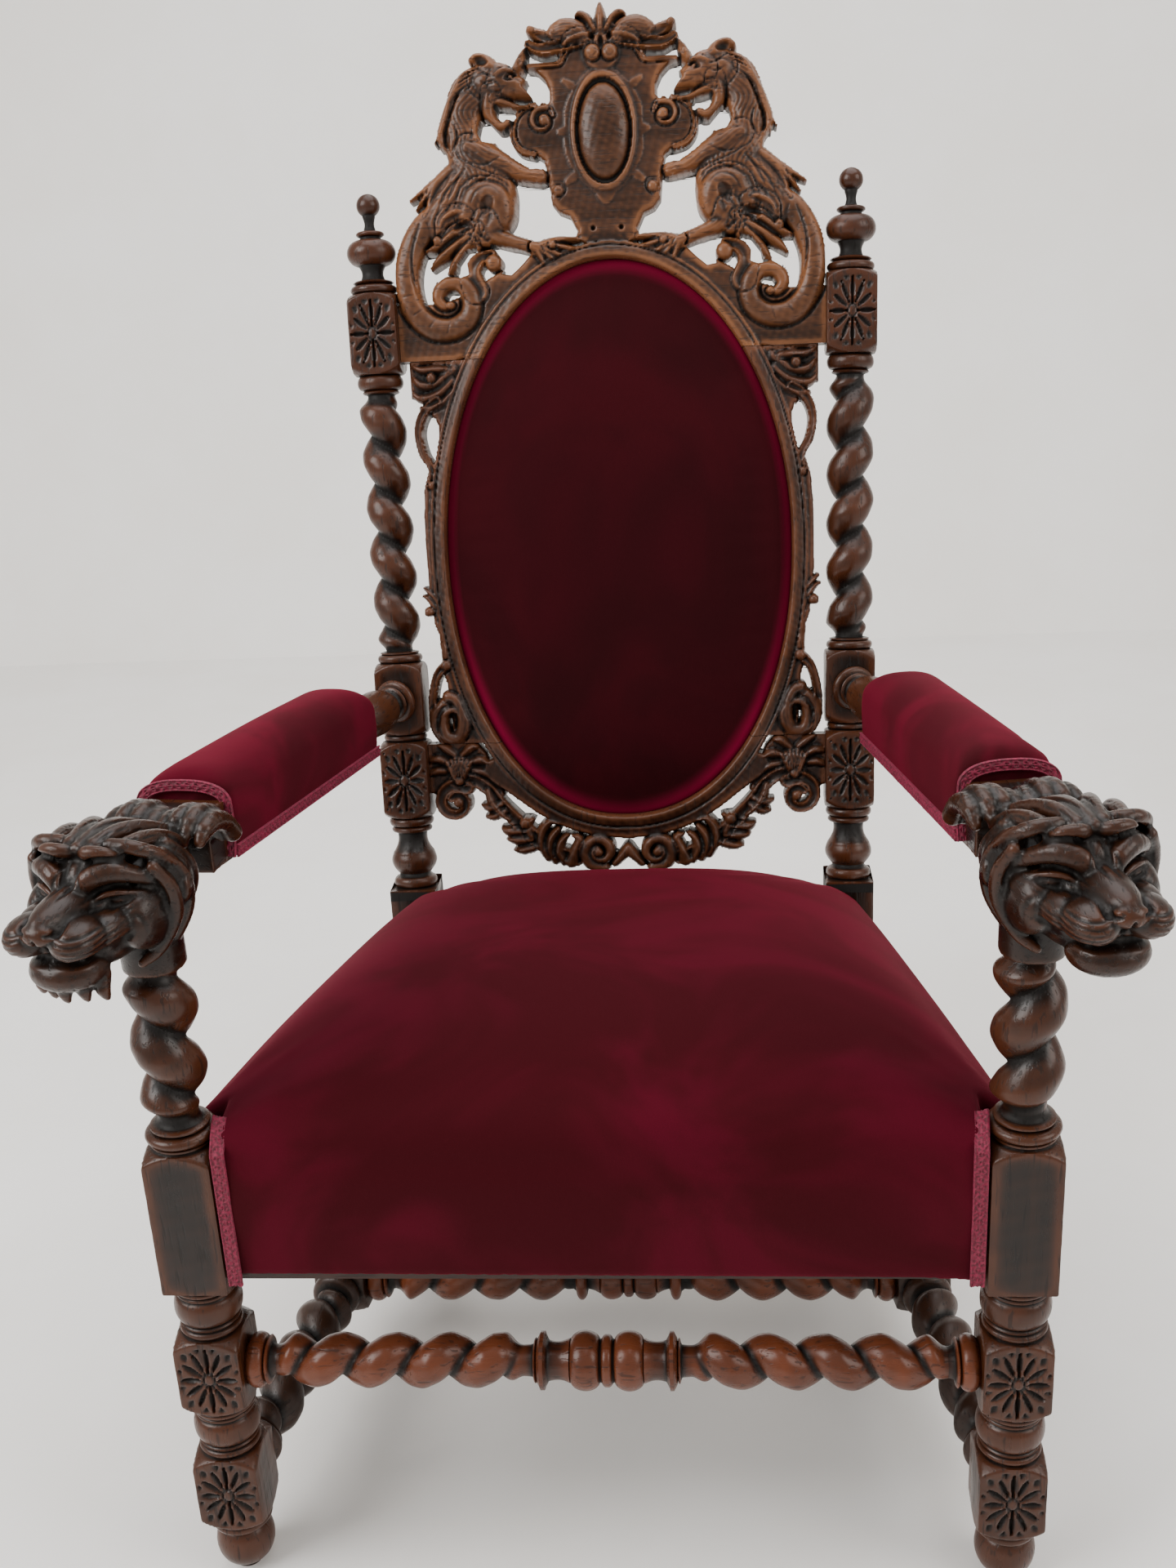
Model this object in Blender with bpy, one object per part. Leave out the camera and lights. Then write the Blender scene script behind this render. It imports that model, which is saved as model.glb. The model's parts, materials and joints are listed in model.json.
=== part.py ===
"""A carved oak throne with barley-twist posts, lion arms and a pierced back.

Metres, +Z up. The sitter faces -Y. The origin is the floor point under the
middle of the throne's box. Every size that can be set by itself stands in
the first block; everything that fits, seats or lines up is worked out from it.
"""
import bpy
import bmesh
from math import atan2, ceil, cos, pi, radians, sin, sqrt
from mathutils import Matrix, Vector

for leftover in list(bpy.data.objects):
    bpy.data.objects.remove(leftover, do_unlink=True)

# Plan of the throne
front_spacing = 0.682
rear_spacing = 0.502
seat_depth = 0.6015
joint_gap = 0.0003

# Front posts, heights above the floor
block_width = 0.0574
foot_height = 0.058
rosette_block_height = 0.0765
turned_link_height = 0.050
seat_block_height = 0.134
collar_height = 0.027
foot_pin_radius = 0.0135
foot_ball_radius = 0.026
post_twist_radius = 0.0285
post_twist_core = 0.0135
post_twist_pitch = 0.0545
front_groove = {-1: 0.5025, 1: 0.5245}

# Rear posts; distances along the raked upright start at the seat joint
rear_block_width = 0.054
seat_joint_height = 0.400
back_rake = radians(11.55)
back_spread = 0.017
rear_seat_block_bottom = 0.262
rear_foot_height = 0.055
vase_height = 0.088
back_block_height = 0.088
arm_block_height = 0.081
rear_twist_length = 0.286
rear_twist_radius = 0.0255
rear_twist_core = 0.0125
rear_twist_pitch = 0.0532
rear_groove = {-1: 0.352, 1: 0.339}
rosette_top_height = 0.087
finial_height = 0.108
finial_cap_radius = 0.0266
finial_ball_radius = 0.0126

# Stretchers
stretcher_radius = 0.0228
stretcher_core = 0.0108
stretcher_pitch = 0.0467
stretcher_bulb_radius = 0.0245
stretcher_groove = 0.130
twist_neck_end = 0.0265
disc_place = 0.0545
bulb_place = 0.022
low_stretcher_radius = 0.0262
low_stretcher_core = 0.0125
low_stretcher_pitch = 0.048
middle_block_width = 0.054
middle_block_place = 0.477
low_groove = 0.060
low_disc_place = 0.049

# Seat
rail_thickness = 0.028
rail_depth = 0.106
rail_top = 0.426
rail_fall = 0.065
front_rail_setback = 0.0085
rear_rail_setback = 0.004
side_rail_proud = 0.003
seat_base_thickness = 0.006
seat_base_lift = 0.002
pad_overhang = 0.004
seat_crown = 0.092
seat_edge_height = 0.020
seat_pad_clearance = 0.0025

# Upholstered oval in the back and the carved frame round it
oval_half_width = 0.1935
oval_half_height = 0.3085
oval_centre = 0.3925
oval_squareness = 2.15
oval_crown = 0.030
oval_pad_depth = 0.018
oval_clearance = 0.001
moulding_width = 0.018
moulding_height = 0.022
board_front = 0.014
board_back = 0.014
crest_height = 0.362
crest_joint = 0.600
rail_joint = 0.172
moulding_overrun = 0.02
trim_spare = 0.05
bottom_rail_height = 0.150

# Arms
arm_half_width = 0.036
arm_half_height = 0.026
arm_front_height = 0.674
head_seat_depth = 0.0685
arm_board_front = 0.098
arm_pad_front = 0.116
arm_pad_rear = 0.510
arm_pad_wrap = 0.0045
arm_pad_crown = 0.024
arm_pad_clearance = 0.0012
arm_bulb_radius = 0.025
head_length = 0.150
head_turn = radians(14)
head_outset = 0.012

# Carving fineness
SIDES = 8
TWIST_SIDES = 6
TURN = 2 * pi
VOXEL = 0.0028
MOULDING_LAP = 0.003
HEAD_VOXEL = 0.0042

front_x = front_spacing / 2
rear_x = rear_spacing / 2
block_half = block_width / 2
rear_half = rear_block_width / 2

root = bpy.data.objects.new("throne", None)
bpy.context.scene.collection.objects.link(root)
back_frame = bpy.data.objects.new("back_plane", None)
bpy.context.scene.collection.objects.link(back_frame)
back_frame.parent = root
back_frame.location = (0, seat_depth, seat_joint_height)
back_frame.rotation_euler = (-back_rake, 0, 0)
back_matrix = Matrix.Translation(back_frame.location) @ Matrix.Rotation(-back_rake, 4, "X")


def finish(name, colour, roughness, metallic=0.0):
    """A plain shader with the part's own colour and gloss."""
    material = bpy.data.materials.new(name)
    material.use_nodes = True
    shader = material.node_tree.nodes["Principled BSDF"]
    shader.inputs["Base Color"].default_value = (*colour, 1)
    shader.inputs["Roughness"].default_value = roughness
    shader.inputs["Metallic"].default_value = metallic
    return material


oak_colour = (0.062, 0.028, 0.015)
velvet_colour = (0.17, 0.008, 0.022)
cloth_colour = (0.02, 0.018, 0.018)


def object_from(name, bm, colour, roughness, parent=root, smooth=True):
    """Turn a bmesh into a named sub-part with its own material."""
    bmesh.ops.recalc_face_normals(bm, faces=bm.faces)
    mesh = bpy.data.meshes.new(name)
    bm.to_mesh(mesh)
    bm.free()
    if smooth:
        mesh.shade_smooth()
        mesh.set_sharp_from_angle(angle=radians(40))
    mesh.materials.append(finish(name, colour, roughness))
    part = bpy.data.objects.new(name, mesh)
    bpy.context.scene.collection.objects.link(part)
    part.parent = parent
    return part


def oak(name, bm, parent=root, smooth=True):
    return object_from(name, bm, oak_colour, 0.42, parent, smooth)


def velvet(name, bm, parent=root):
    return object_from(name, bm, velvet_colour, 0.85, parent)


def skin(bm, rings):
    """Join rings of points into one closed skin with a cap at each end.

    Neighbouring rings may differ in their number of points: the wall between
    them then steps round whichever ring is behind."""
    loops = [[bm.verts.new(point) for point in ring] for ring in rings]
    for lower, upper in zip(loops, loops[1:]):
        low_count = len(lower)
        high_count = len(upper)
        low = 0
        high = 0
        while low < low_count or high < high_count:
            low_vert = lower[low % low_count]
            high_vert = upper[high % high_count]
            low_next = (low + 1) / low_count
            high_next = (high + 1) / high_count
            if abs(low_next - high_next) < 1e-6:
                bm.faces.new((low_vert, lower[(low + 1) % low_count],
                              upper[(high + 1) % high_count], high_vert))
                low += 1
                high += 1
            elif low_next < high_next:
                bm.faces.new((low_vert, lower[(low + 1) % low_count], high_vert))
                low += 1
            else:
                bm.faces.new((low_vert, upper[(high + 1) % high_count], high_vert))
                high += 1
    bm.faces.new(loops[0])
    bm.faces.new(loops[-1])
    return bm


# Turned work. A station is a distance along the axis and a turned radius. Where
# the turned radius passes the corners of the square stock, the section is square;
# between the two it gives the arched shoulders of a block.


def ring_radius(angle, radius, half):
    flat = max(abs(cos(angle)), abs(sin(angle)))
    return min(radius, half / flat)


def bead(centre, height, radius, inner):
    """A broad round moulding: two crest stations between two inner ones."""
    side = height / 2
    crest = height * 0.22
    return [(centre - side, inner), (centre - crest, radius),
            (centre + crest, radius), (centre + side, inner)]


def ring(centre, height, radius, inner):
    """A thin ring: one crest station between two inner ones."""
    side = height / 2
    return [(centre - side, inner), (centre, radius), (centre + side, inner)]


def ball(centre, radius, inner):
    """A turned ball that closes to the inner radius at both ends."""
    reach = sqrt(radius ** 2 - inner ** 2)
    steps = [-reach, -reach * 0.45, reach * 0.45, reach]
    return [(centre + step, sqrt(max(radius ** 2 - step ** 2, inner ** 2))) for step in steps]


def block(bottom, height, half):
    """A square block whose corners run into arched shoulders at both ends."""
    corner = half * sqrt(2)
    shoulder = (corner - half) * 1.15
    top = bottom + height
    return [(bottom, half), (bottom + shoulder, corner), (top - shoulder, corner), (top, half)]


def link(bottom, height, radius, neck):
    """The turned link between two blocks: two rings, a barrel and a collar."""
    share = height / 0.050
    stations = ring(bottom + 0.0085 * share, 0.010 * share, radius, neck)
    stations += bead(bottom + 0.029 * share, 0.022 * share, radius, neck)
    stations += [(bottom + 0.0455 * share, radius * 0.93)]
    return stations


def turned(stations, half, frame, sides=SIDES):
    """Rings of points for a list of (distance, radius) stations."""
    rings = []
    for distance, radius in stations:
        points = []
        for index in range(sides):
            angle = TURN * index / sides
            reach = ring_radius(angle, radius, half)
            points.append(frame @ Vector((reach * cos(angle), reach * sin(angle), distance)))
        rings.append(points)
    return rings


def twist(start, end, radius, core, pitch, hand, groove, frame, levels=5, facing=-pi / 2):
    """A barley twist: one rope strand of the given pitch round a thin core.

    Its groove crosses the facing angle at the distance called groove."""
    count = max(4, ceil((end - start) / pitch * levels))
    rings = []
    for step in range(count + 1):
        distance = start + (end - start) * step / count
        fade = min(1.0, step / 2, (count - step) / 2)
        points = []
        for index in range(TWIST_SIDES):
            angle = TURN * index / TWIST_SIDES
            turn = hand * (angle - facing) - TURN * (distance - groove) / pitch + pi
            strand = core + (radius - core) * abs(cos(turn / 2)) ** 0.85
            reach = core * 1.1 + (strand - core * 1.1) * fade
            points.append(frame @ Vector((reach * cos(angle), reach * sin(angle), distance)))
        rings.append(points)
    return rings


# Heights on the front post, from the floor up
lower_block = foot_height
upper_block = lower_block + rosette_block_height + turned_link_height
seat_block = upper_block + rosette_block_height + turned_link_height
seat_block_top = seat_block + seat_block_height
twist_start = seat_block_top + collar_height
post_top = arm_front_height - head_seat_depth
upper_axis = upper_block + rosette_block_height / 2
lower_axis = lower_block + rosette_block_height / 2


def foot(height, ball_radius, pin_radius, neck):
    """A pin, a turned ball and a ring under the lowest block."""
    pin = height * 0.14
    stations = [(0, pin_radius), (pin, pin_radius)]
    stations += ball(height * 0.48, ball_radius, pin_radius * 1.1)
    stations += ring(height * 0.90, height * 0.15, neck, neck * 0.88)
    return stations


def rosette(part, frame, height, half):
    """A shallow star-shaped flower sunk in the front face of a block."""
    petals = 10
    depth = half * 0.09
    rim = []
    for index in range(2 * petals):
        angle = TURN * index / (2 * petals)
        reach = half * (0.88 if index % 2 == 0 else 0.52)
        rim.append((reach * cos(angle), height + 1.18 * reach * sin(angle)))
    bm = bmesh.new()
    lip = half * 0.02
    front = [bm.verts.new(frame @ Vector((x, -half - lip, z))) for x, z in rim]
    heart = bm.verts.new(frame @ Vector((0, -half + depth, height)))
    bm.faces.new(front)
    for index in range(len(front)):
        bm.faces.new((front[index], front[(index + 1) % len(front)], heart))
    guide = object_from(part.name + "_flower_guide", bm, oak_colour, 0.5, root, False)
    guide.hide_render = True
    guide.display_type = "WIRE"
    cut = part.modifiers.new("flower", "BOOLEAN")
    cut.operation = "DIFFERENCE"
    cut.solver = "EXACT"
    cut.object = guide


def front_post(side):
    label = "right" if side > 0 else "left"
    frame = Matrix.Translation((side * front_x, 0, 0))
    neck = block_half * 0.86
    low = foot(foot_height, foot_ball_radius, foot_pin_radius, neck)
    low += block(lower_block, rosette_block_height, block_half)
    low += link(lower_block + rosette_block_height, turned_link_height, block_half * 0.95, neck)
    low += block(upper_block, rosette_block_height, block_half)
    low += link(upper_block + rosette_block_height, turned_link_height, block_half * 0.95, neck)
    low += block(seat_block, seat_block_height, block_half)
    low += bead(seat_block_top + collar_height * 0.34, collar_height * 0.52,
                block_half * 1.02, block_half * 0.88)
    low += ring(seat_block_top + collar_height * 0.72, collar_height * 0.24,
                block_half * 0.86, block_half * 0.62)
    rings = turned(low, block_half, frame)
    rings += twist(twist_start, post_top - 0.006, post_twist_radius, post_twist_core,
                   post_twist_pitch, side, front_groove[side], frame)
    rings += turned([(post_top, post_twist_radius * 0.62)], block_half, frame)
    part = oak("front_post_" + label, skin(bmesh.new(), rings))
    rosette(part, frame, lower_axis, block_half)
    rosette(part, frame, upper_axis, block_half)


def rear_post(side):
    label = "right" if side > 0 else "left"
    leg = Matrix.Translation((side * rear_x, seat_depth, 0))
    lean = Matrix.Rotation(atan2(back_spread, 1) * side, 4, "Y")
    upright = back_matrix @ Matrix.Translation((side * rear_x, 0, 0)) @ lean
    neck = rear_half * 0.84
    low = foot(rear_foot_height, rear_half * 0.94, foot_pin_radius, neck)
    low += block(rear_foot_height, lower_axis * 2 - rear_foot_height * 2, rear_half)
    link_start = lower_axis * 2 - rear_foot_height
    link_length = rear_seat_block_bottom - link_start
    low += ring(link_start + link_length * 0.12, link_length * 0.14, neck, neck * 0.8)
    low += [(link_start + link_length * 0.28, neck * 0.66),
            (link_start + link_length * 0.60, neck * 1.08),
            (link_start + link_length * 0.78, neck * 0.72)]
    low += ring(link_start + link_length * 0.90, link_length * 0.12, neck, neck * 0.8)
    corner = rear_half * sqrt(2)
    low += [(rear_seat_block_bottom, rear_half), (rear_seat_block_bottom + 0.012, corner)]
    rings = turned(low, rear_half, leg)
    high = [(0.0, corner), (0.004, rear_half)]
    high += ring(0.012, 0.012, rear_half * 0.92, neck * 0.9)
    high += [(vase_height * 0.34, rear_half * 0.92), (vase_height * 0.60, rear_half * 0.72),
             (vase_height * 0.74, rear_half * 0.62)]
    high += ring(vase_height * 0.86, vase_height * 0.14, rear_half * 0.93, rear_half * 0.8)
    place = vase_height
    high += block(place, back_block_height, rear_half)
    place += back_block_height
    high += [(place + 0.0045, rear_half * 0.90)]
    place += 0.009
    arm_block = place
    high += block(place, arm_block_height, rear_half)
    place += arm_block_height
    high += ring(place + 0.006, 0.011, rear_half * 0.93, neck * 0.9)
    rings += turned(high, rear_half, upright)
    place += 0.014
    rings += twist(place, place + rear_twist_length, rear_twist_radius, rear_twist_core,
                   rear_twist_pitch, side, rear_groove[side], upright)
    place += rear_twist_length + 0.014
    high = ring(place, 0.012, rear_half * 0.93, neck * 0.8)
    place += 0.008
    top_block = place
    high += block(place, rosette_top_height, rear_half)
    place += rosette_top_height
    share = finial_height / 0.108
    high += ring(place + 0.007 * share, 0.012 * share, rear_half * 0.96, rear_half * 0.72)
    high += [(place + 0.022 * share, rear_half * 0.42)]
    cap = place + 0.042 * share
    high += [(cap - 0.012 * share, finial_cap_radius * 0.55), (cap, finial_cap_radius),
             (cap + 0.009 * share, finial_cap_radius * 0.86), (cap + 0.016 * share, finial_cap_radius * 0.40)]
    high += ring(cap + 0.021 * share, 0.007 * share, finial_cap_radius * 0.56, finial_cap_radius * 0.3)
    high += ball(place + finial_height - finial_ball_radius, finial_ball_radius, finial_ball_radius * 0.35)
    rings += turned(high, rear_half, upright)
    part = oak("rear_post_" + label, skin(bmesh.new(), rings))
    rosette(part, upright, vase_height + back_block_height / 2, rear_half)
    rosette(part, upright, top_block + rosette_top_height / 2, rear_half)
    return arm_block + arm_block_height / 2


def along(start, end):
    """A frame whose Z runs from one point to another, with X kept level."""
    axis = (end - start).normalized()
    level = Vector((0, 0, 1)).cross(axis).normalized()
    third = axis.cross(level)
    turn = Matrix((level, third, axis)).transposed().to_4x4()
    return Matrix.Translation(start) @ turn


def stretcher_end(length, radius, at_start):
    """The ring, thin ring and neck that a twist grows out of."""
    place = [(0, radius * 0.80), *ring(0.0075, 0.013, radius, radius * 0.8),
             *ring(0.020, 0.008, radius * 0.86, radius * 0.6)]
    if at_start:
        return place
    return [(length - distance, size) for distance, size in reversed(place)]


def square_ends(rings, start, end, slant):
    """Slant the turned ends of a rail so that they meet what they join squarely.

    A rail that runs back meets faces across its path; one that runs across
    meets faces that slant by the given slope."""
    reach = 0.03
    length = (end - start).length
    axis = (end - start) / length
    for points in rings:
        middle = sum(points, Vector()) / len(points)
        distance = (middle - start).dot(axis)
        for edge, sign in ((distance, -1), (length - distance, 1)):
            share = max(0.0, 1 - edge / reach)
            for point in points:
                if slant:
                    point.x += sign * (point.y - start.y) * slant * share
                else:
                    point.y += (middle.y - point.y) * share


def front_stretcher():
    inner = front_x - block_half - joint_gap
    length = 2 * inner
    frame = along(Vector((-inner, 0, upper_axis)), Vector((inner, 0, upper_axis)))
    middle = length / 2
    rings = turned(stretcher_end(length, stretcher_radius, True), 1, frame, TWIST_SIDES)
    rings += twist(twist_neck_end, middle - disc_place - 0.008, stretcher_radius, stretcher_core,
                   stretcher_pitch, -1, middle - stretcher_groove, frame, 4, pi)
    centre = ring(middle - disc_place, 0.012, stretcher_bulb_radius, stretcher_core * 1.3)
    centre += [(middle - bulb_place * 1.64, stretcher_bulb_radius * 0.62),
               (middle - bulb_place, stretcher_bulb_radius),
               (middle - bulb_place * 0.45, stretcher_bulb_radius * 0.72)]
    centre += ring(middle, 0.011, stretcher_radius, stretcher_radius * 0.72)
    centre += [(middle + bulb_place * 0.45, stretcher_bulb_radius * 0.72),
               (middle + bulb_place, stretcher_bulb_radius),
               (middle + bulb_place * 1.64, stretcher_bulb_radius * 0.62)]
    centre += ring(middle + disc_place, 0.012, stretcher_bulb_radius, stretcher_core * 1.3)
    rings += turned(centre, 1, frame, TWIST_SIDES)
    rings += twist(middle + disc_place + 0.008, length - twist_neck_end, stretcher_radius, stretcher_core,
                   stretcher_pitch, 1, middle + stretcher_groove, frame, 4, pi)
    rings += turned(stretcher_end(length, stretcher_radius, False), 1, frame, TWIST_SIDES)
    oak("front_stretcher", skin(bmesh.new(), rings))


def side_line(side, depth):
    """A point on the line between a front post's axis and a rear one's."""
    share = depth / seat_depth
    return Vector((side * (front_x + (rear_x - front_x) * share), depth, lower_axis))


def side_stretcher(side):
    """Twist, square middle block and twist again, in one turned piece."""
    label = "right" if side > 0 else "left"
    start = side_line(side, block_half + joint_gap)
    end = side_line(side, seat_depth - rear_half - joint_gap)
    frame = along(start, end)
    length = (end - start).length
    middle = seat_depth * middle_block_place - block_half
    half = middle_block_width / 2
    rings = turned(stretcher_end(length, low_stretcher_radius, True), half, frame, TWIST_SIDES)
    rings += twist(twist_neck_end, middle - half - 0.014, low_stretcher_radius, low_stretcher_core,
                   low_stretcher_pitch, side, low_groove, frame, 4)
    centre = ring(middle - half - 0.007, 0.012, half * 0.92, half * 0.7)
    centre += block(middle - half, middle_block_width, half)
    centre += ring(middle + half + 0.007, 0.012, half * 0.92, half * 0.7)
    rings += turned(centre, half, frame)
    rings += twist(middle + half + 0.014, length - twist_neck_end, low_stretcher_radius, low_stretcher_core,
                   low_stretcher_pitch, side, low_groove, frame, 4)
    rings += turned(stretcher_end(length, low_stretcher_radius, False), half, frame, TWIST_SIDES)
    square_ends(rings, start, end, 0)
    oak("side_stretcher_" + label, skin(bmesh.new(), rings))
    return frame @ Vector((0, 0, middle)), frame


def cross_stretcher(centre, frame):
    half = middle_block_width / 2
    level = abs(centre.x) - half / abs(frame.to_3x3().col[0].x) - joint_gap
    start = Vector((-level, centre.y, centre.z))
    end = Vector((level, centre.y, centre.z))
    line = along(start, end)
    length = 2 * level
    middle = length / 2
    wide = low_stretcher_radius
    rings = turned(stretcher_end(length, wide, True), 1, line, TWIST_SIDES)
    rings += twist(twist_neck_end, middle - low_disc_place - 0.008, wide, low_stretcher_core,
                   low_stretcher_pitch, -1, middle - low_groove, line, 4, pi)
    turning = ring(middle - low_disc_place, 0.012, wide, low_stretcher_core * 1.2)
    turning += [(middle - low_disc_place * 0.49, wide * 0.95), (middle - low_disc_place * 0.20, wide * 0.7)]
    turning += ring(middle, 0.010, wide * 0.9, wide * 0.7)
    turning += [(middle + low_disc_place * 0.20, wide * 0.7), (middle + low_disc_place * 0.49, wide * 0.95)]
    turning += ring(middle + low_disc_place, 0.012, wide, low_stretcher_core * 1.2)
    rings += turned(turning, 1, line, TWIST_SIDES)
    rings += twist(middle + low_disc_place + 0.008, length - twist_neck_end, wide, low_stretcher_core,
                   low_stretcher_pitch, 1, middle + low_groove, line, 4, pi)
    rings += turned(stretcher_end(length, low_stretcher_radius, False), 1, line, TWIST_SIDES)
    # The end faces lie flat on the middle blocks' slanting inner faces.
    slope = frame.to_3x3().col[2]
    square_ends(rings, start, end, slope.x / slope.y)
    oak("cross_stretcher", skin(bmesh.new(), rings))


def rail_height(depth):
    return rail_top - rail_fall * depth / seat_depth


def board(name, plan, top, bottom):
    """A rail: a flat plan outline with a top and a bottom height for each point."""
    bm = bmesh.new()
    skin(bm, [[Vector((x, y, bottom(y))) for x, y in plan], [Vector((x, y, top(y))) for x, y in plan]])
    oak(name, bm, smooth=False)


def seat_rails():
    """Four boards tenoned between the posts' seat blocks."""
    reach = front_x - block_half - joint_gap
    back_reach = rear_x - rear_half - joint_gap
    front_face = -block_half + front_rail_setback
    back_face = seat_depth - rear_half + rear_rail_setback

    def lower(depth):
        return rail_height(depth) - rail_depth

    board("seat_rail_front", [(-reach, front_face), (reach, front_face),
                              (reach, front_face + rail_thickness), (-reach, front_face + rail_thickness)],
          rail_height, lower)
    outer_face = back_face + rail_thickness
    board("seat_rail_back", [(-back_reach, back_face), (back_reach, back_face),
                             (back_reach, outer_face), (-back_reach, outer_face)],
          rail_height, lower)
    near = block_half + joint_gap
    far = seat_depth - rear_half - joint_gap
    outer = side_rail_proud
    for side, label in ((-1, "left"), (1, "right")):
        start = side_line(side, near).x
        end = side_line(side, far).x
        board("seat_rail_" + label, [(start + side * outer, near), (end + side * outer, far),
                                     (end + side * (outer - rail_thickness), far),
                                     (start + side * (outer - rail_thickness), near)],
              rail_height, lower)
    seat_base(reach, back_reach, front_face + rail_thickness + joint_gap, back_face - joint_gap, near, far)


def seat_base(reach, back_reach, start, finish, near, far):
    """The stretched cloth that closes the seat between the rails, notched round the posts."""
    wall = rail_thickness - side_rail_proud + joint_gap
    wide = side_line(1, near).x - wall
    narrow = side_line(1, far).x - wall
    right = [(reach, start), (reach, near), (wide, near),
             (narrow, far), (back_reach, far), (back_reach, finish)]
    plan = right + [(-x, y) for x, y in reversed(right)]
    rings = []
    for lift in (seat_base_lift, seat_base_lift + seat_base_thickness):
        rings.append([Vector((x, y, rail_height(y) - rail_depth + lift)) for x, y in plan])
    bm = bmesh.new()
    skin(bm, rings)
    object_from("seat_base", bm, cloth_colour, 0.9, root, False)


def seat_pad():
    """The stuffed seat: a crowned form notched round all four posts."""
    reach = front_x - block_half - seat_pad_clearance
    front = -block_half + front_rail_setback - pad_overhang
    notch = block_half + seat_pad_clearance
    back_notch = seat_depth - rear_half - seat_pad_clearance
    back_reach = rear_x - rear_half - seat_pad_clearance
    back = seat_depth + rear_rail_setback
    outer = pad_overhang + side_rail_proud

    def half_width(depth):
        if depth < notch:
            return reach
        if depth > back_notch:
            return back_reach
        return abs(side_line(1, depth).x) + outer

    span = back_notch - notch
    depths = [front, front * 0.3, notch - 0.0005, notch + 0.0005, notch + span * 0.06, notch + span * 0.2,
              notch + span * 0.4, notch + span * 0.6, notch + span * 0.8, notch + span * 0.94,
              back_notch - 0.0005, back_notch + 0.0005, back]
    across = [-1, -0.94, -0.78, -0.42, 0, 0.42, 0.78, 0.94, 1]
    bm = bmesh.new()
    rows = []
    for depth in depths:
        width = half_width(depth)
        share = (depth - front) / (back - front)
        floor = rail_height(depth) + joint_gap
        top = []
        for place in across:
            rise = (1 - abs(place) ** 3.2) ** 0.62 * (1 - abs(2 * share - 1) ** 2.8) ** 0.60
            height = floor + seat_edge_height + seat_crown * rise
            top.append(bm.verts.new((width * place, depth, height)))
        bottom = [bm.verts.new((width * place, depth, floor)) for place in across]
        rows.append((top, bottom))
    for (top_a, low_a), (top_b, low_b) in zip(rows, rows[1:]):
        for index in range(len(across) - 1):
            bm.faces.new((top_a[index], top_a[index + 1], top_b[index + 1], top_b[index]))
            bm.faces.new((low_a[index], low_b[index], low_b[index + 1], low_a[index + 1]))
        bm.faces.new((top_a[0], top_b[0], low_b[0], low_a[0]))
        bm.faces.new((top_a[-1], low_a[-1], low_b[-1], top_b[-1]))
    for top, bottom in (rows[0], rows[-1]):
        for index in range(len(across) - 1):
            bm.faces.new((top[index], bottom[index], bottom[index + 1], top[index + 1]))
    velvet("seat_pad", bm)


def oval_point(angle, offset):
    """A point of the oval, its lower half a little squarer, moved outwards."""
    power = 2 / oval_squareness if sin(angle) < 0 else 1.0
    across = abs(cos(angle)) ** power * (1 if cos(angle) > 0 else -1)
    along_axis = abs(sin(angle)) ** power * (1 if sin(angle) > 0 else -1)
    return ((oval_half_width + offset) * across, oval_centre + (oval_half_height + offset) * along_axis)


OVAL_SIDES = 32


def oval_opening():
    """A guide that cuts the true oval opening out of the carved frame."""
    rings = []
    for depth in (-0.1, 0.1):
        points = []
        for index in range(OVAL_SIDES):
            x, t = oval_point(TURN * index / OVAL_SIDES, 0)
            points.append(Vector((x, depth, t)))
        rings.append(points)
    guide = object_from("oval_opening_guide", skin(bmesh.new(), rings), oak_colour, 0.5, back_frame, False)
    guide.hide_render = True
    guide.display_type = "WIRE"
    return guide


def back_pad():
    """The upholstered oval: a low dome in front, nearly flat behind."""
    count = OVAL_SIDES
    rings = []
    profile = [(0.55, oval_crown), (0.86, oval_crown * 0.72), (1.0, 0.008), (1.0, -oval_pad_depth)]
    for share, height in profile:
        points = []
        for index in range(count):
            x, t = oval_point(TURN * index / count, -oval_clearance)
            points.append(Vector((x * share, -height + 0.004, oval_centre + (t - oval_centre) * share)))
        rings.append(points)
    velvet("back_pad", skin(bmesh.new(), rings), back_frame)


# Carved boards. A stroke is a few points (across, up) in millimetres of the
# carver's drawing, each with the stroke's half width and its height there.
DRAWING_HALF = 234.2
DRAWING_FOOT = 0.701
DRAWING_TOP = 0.962
drawing_scale = (rear_x + back_spread * crest_joint - rear_half - joint_gap) / DRAWING_HALF


def smooth_path(points, steps):
    """Points along a smooth curve through the given ones, with their sizes."""
    path = []
    count = len(points)
    for index in range(count - 1):
        before = Vector(points[max(index - 1, 0)])
        start = Vector(points[index])
        end = Vector(points[index + 1])
        after = Vector(points[min(index + 2, count - 1)])
        for step in range(steps):
            share = step / steps
            square = share * share
            cube = square * share
            path.append(0.5 * (2 * start + (end - before) * share
                               + (2 * before - 5 * start + 4 * end - after) * square
                               + (3 * start - before - 3 * end + after) * cube))
    path.append(Vector(points[-1]))
    return path


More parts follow.
